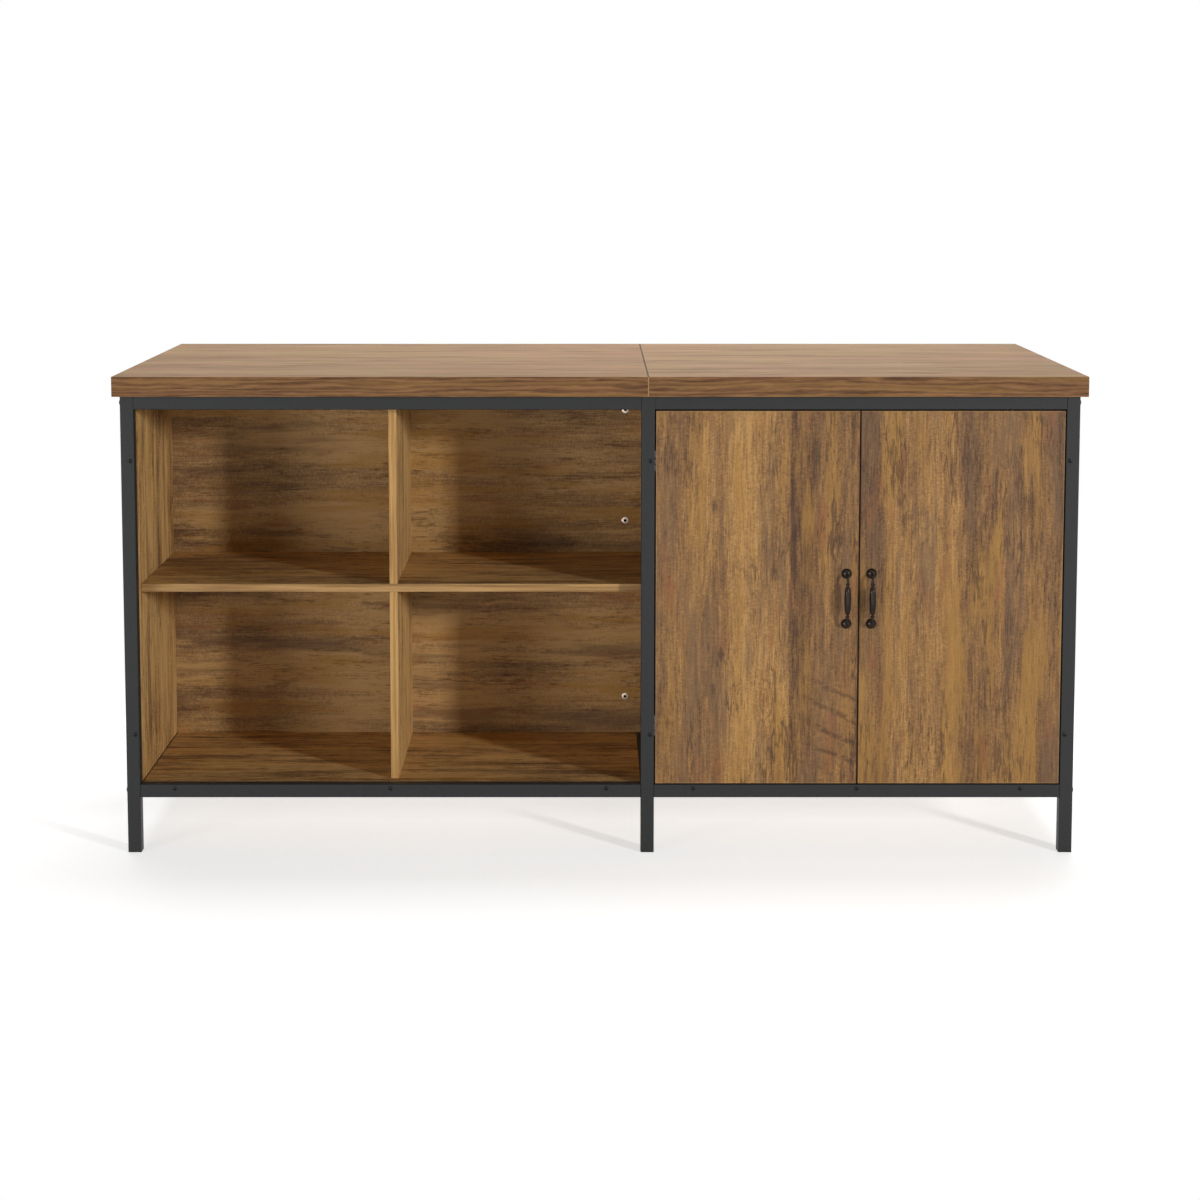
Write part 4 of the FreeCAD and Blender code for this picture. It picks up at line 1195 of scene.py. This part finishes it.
@dataclass(frozen=True)
class Worktop:
    """Two halves of the worktop, with their splines and screws."""

    edge: float = 0.3 * MM

    def build(self, finishes: Finishes) -> None:
        """Dresses the worktop.

        Args:
            finishes: The island's finishes.
        """
        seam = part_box("countertop_right")[0].x
        for side, seed in (("left", 1.0), ("right", 2.0)):
            ease(dress("countertop_" + side, TopOak("top oak " + side, seed, seam).make()), self.edge)
        dress("countertop_splines", finishes.beech)
        dress("countertop_screws", finishes.zinc)


@dataclass(frozen=True)
class Lamp:
    """One soft light."""

    name: str
    place: tuple
    aim: tuple
    size: tuple
    watts: float
    colour: tuple = (1.0, 1.0, 1.0)
    shines: bool = True

    def build(self) -> None:
        """Hangs the light."""
        data = bpy.data.lights.new(self.name, "AREA")
        data.shape = "RECTANGLE"
        data.size, data.size_y = self.size
        data.energy = self.watts
        data.color = self.colour
        lamp = bpy.data.objects.new(self.name, data)
        lamp.visible_camera = False
        lamp.visible_glossy = self.shines
        lamp.location = self.place
        lamp.rotation_euler = (Vector(self.aim) - lamp.location).to_track_quat("-Z", "Y").to_euler()
        bpy.context.scene.collection.objects.link(lamp)


@dataclass(frozen=True)
class Studio:
    """Pale floor, white surround, soft lights and the camera."""

    floor_size: float = 30.0
    lens: float = 70.524
    sensor: float = 36.0
    camera_place: tuple = (-0.0232, -4.7459, 1.3313)
    pitch: float = 5.623
    shift_x: float = 0.0102
    shift_y: float = -0.18
    floor_lift: float = 0.62
    surround: float = 0.06
    lamps: tuple = (
        Lamp("key", (4.60, -5.1, 2.00), (-0.1, 0.0, 0.45), (0.42, 0.8), 224.0, (1.0, 0.99, 0.97)),
        Lamp("fill", (-3.6, -4.2, 0.62), (0.0, 0.0, 0.45), (1.3, 0.8), 66.0),
        Lamp("bounce", (0.0, -2.2, 0.05), (0.0, 0.0, 0.80), (3.6, 0.8), 9.0),
        Lamp("rear", (1.2, 4.6, 1.9), (0.0, 0.0, 0.45), (2.6, 1.8), 75.0, shines=False),
        Lamp("overhead", (0.0, 0.9, 3.4), (0.0, 0.2, 0.9), (3.6, 1.8), 88.0, shines=False),
    )

    def build(self) -> None:
        """Makes the stage, the lights and the camera."""
        self._floor()
        self._world()
        for lamp in self.lamps:
            lamp.build()
        self._camera()

    @staticmethod
    def _seen(sheet: Sheet) -> Signal:
        """1 where the camera, a mirror or a glass sees the surface itself.

        Args:
            sheet: The nodes to add to.

        Returns:
            1 or 0.
        """
        path = sheet.make("ShaderNodeLightPath", {}, {})
        rays = ("Is Camera Ray", "Is Glossy Ray", "Is Transmission Ray")
        camera, glossy, through = (Signal(sheet, path.outputs[name]) for name in rays)
        return (camera + glossy + through).clamped()

    @staticmethod
    def _white(sheet: Sheet, kind: str, strength: float) -> Signal:
        """White light of a strength, from an Emission or a Background node."""
        return sheet.node(kind, {}, {"Color": WHITE, "Strength": strength})

    def _floor(self) -> None:
        """Lays the pale floor, which turns into the white surround away from the island."""
        half = self.floor_size / 2
        mesh = bpy.data.meshes.new("floor")
        square = [(-half, -half, 0), (half, -half, 0), (half, half, 0), (-half, half, 0)]
        mesh.from_pydata(square, [], [(0, 1, 2, 3)])
        floor = bpy.data.objects.new("floor", mesh)
        bpy.context.scene.collection.objects.link(floor)
        sheet = Sheet(bpy.data.materials.new("pale floor"))
        place = sheet.place()
        colour = sheet.mix(paint(236, 236, 236), paint(240, 240, 240), sheet.noise(place, 400.0, 2.0, 0.5))
        matt = sheet.node("ShaderNodeBsdfDiffuse", {}, {"Color": colour})
        none, glow, white = (self._white(sheet, "ShaderNodeEmission", strength)
                             for strength in (0.0, self.floor_lift, 1.0))
        seen = self._seen(sheet)
        lift = sheet.node("ShaderNodeMixShader", {}, {0: seen, 1: none, 2: glow})
        lifted = sheet.node("ShaderNodeAddShader", {}, {0: matt, 1: lift})
        x, y, _ = sheet.split(place)
        far = ((x * 0.62) ** 2.0 + (y * 0.80) ** 2.0).above(0.45, 1.5)
        surface = sheet.node("ShaderNodeMixShader", {}, {0: seen * far, 1: lifted, 2: white})
        sheet.make("ShaderNodeOutputMaterial", {}, {"Surface": surface})
        mesh.materials.append(sheet.owner)

    def _world(self) -> None:
        """White surround, dim for the light that falls on the island."""
        world = bpy.data.worlds.new("studio")
        sheet = Sheet(world)
        dim, white = (self._white(sheet, "ShaderNodeBackground", strength)
                      for strength in (self.surround, 1.0))
        both = sheet.node("ShaderNodeMixShader", {}, {0: self._seen(sheet), 1: dim, 2: white})
        sheet.make("ShaderNodeOutputWorld", {}, {"Surface": both})
        bpy.context.scene.world = world
        bpy.context.scene.view_settings.view_transform = "Standard"

    def _camera(self) -> None:
        """Sets up the camera."""
        data = bpy.data.cameras.new("camera")
        data.lens = self.lens
        data.sensor_width = self.sensor
        data.shift_x = self.shift_x
        data.shift_y = self.shift_y
        data.dof.use_dof = False
        camera = bpy.data.objects.new("camera", data)
        camera.location = self.camera_place
        camera.rotation_euler = (math.radians(90 - self.pitch), 0.0, 0.0)
        bpy.context.scene.collection.objects.link(camera)
        bpy.context.scene.camera = camera


def main() -> None:
    """Builds the island's looks, the studio and the camera."""
    logging.basicConfig(level=logging.INFO, format="%(message)s")
    finishes = Finishes()
    for part in (TubeFrame(), Carcass(), Doors(), Worktop()):
        part.build(finishes)
    Studio().build()


if __name__ == "__main__":
    main()
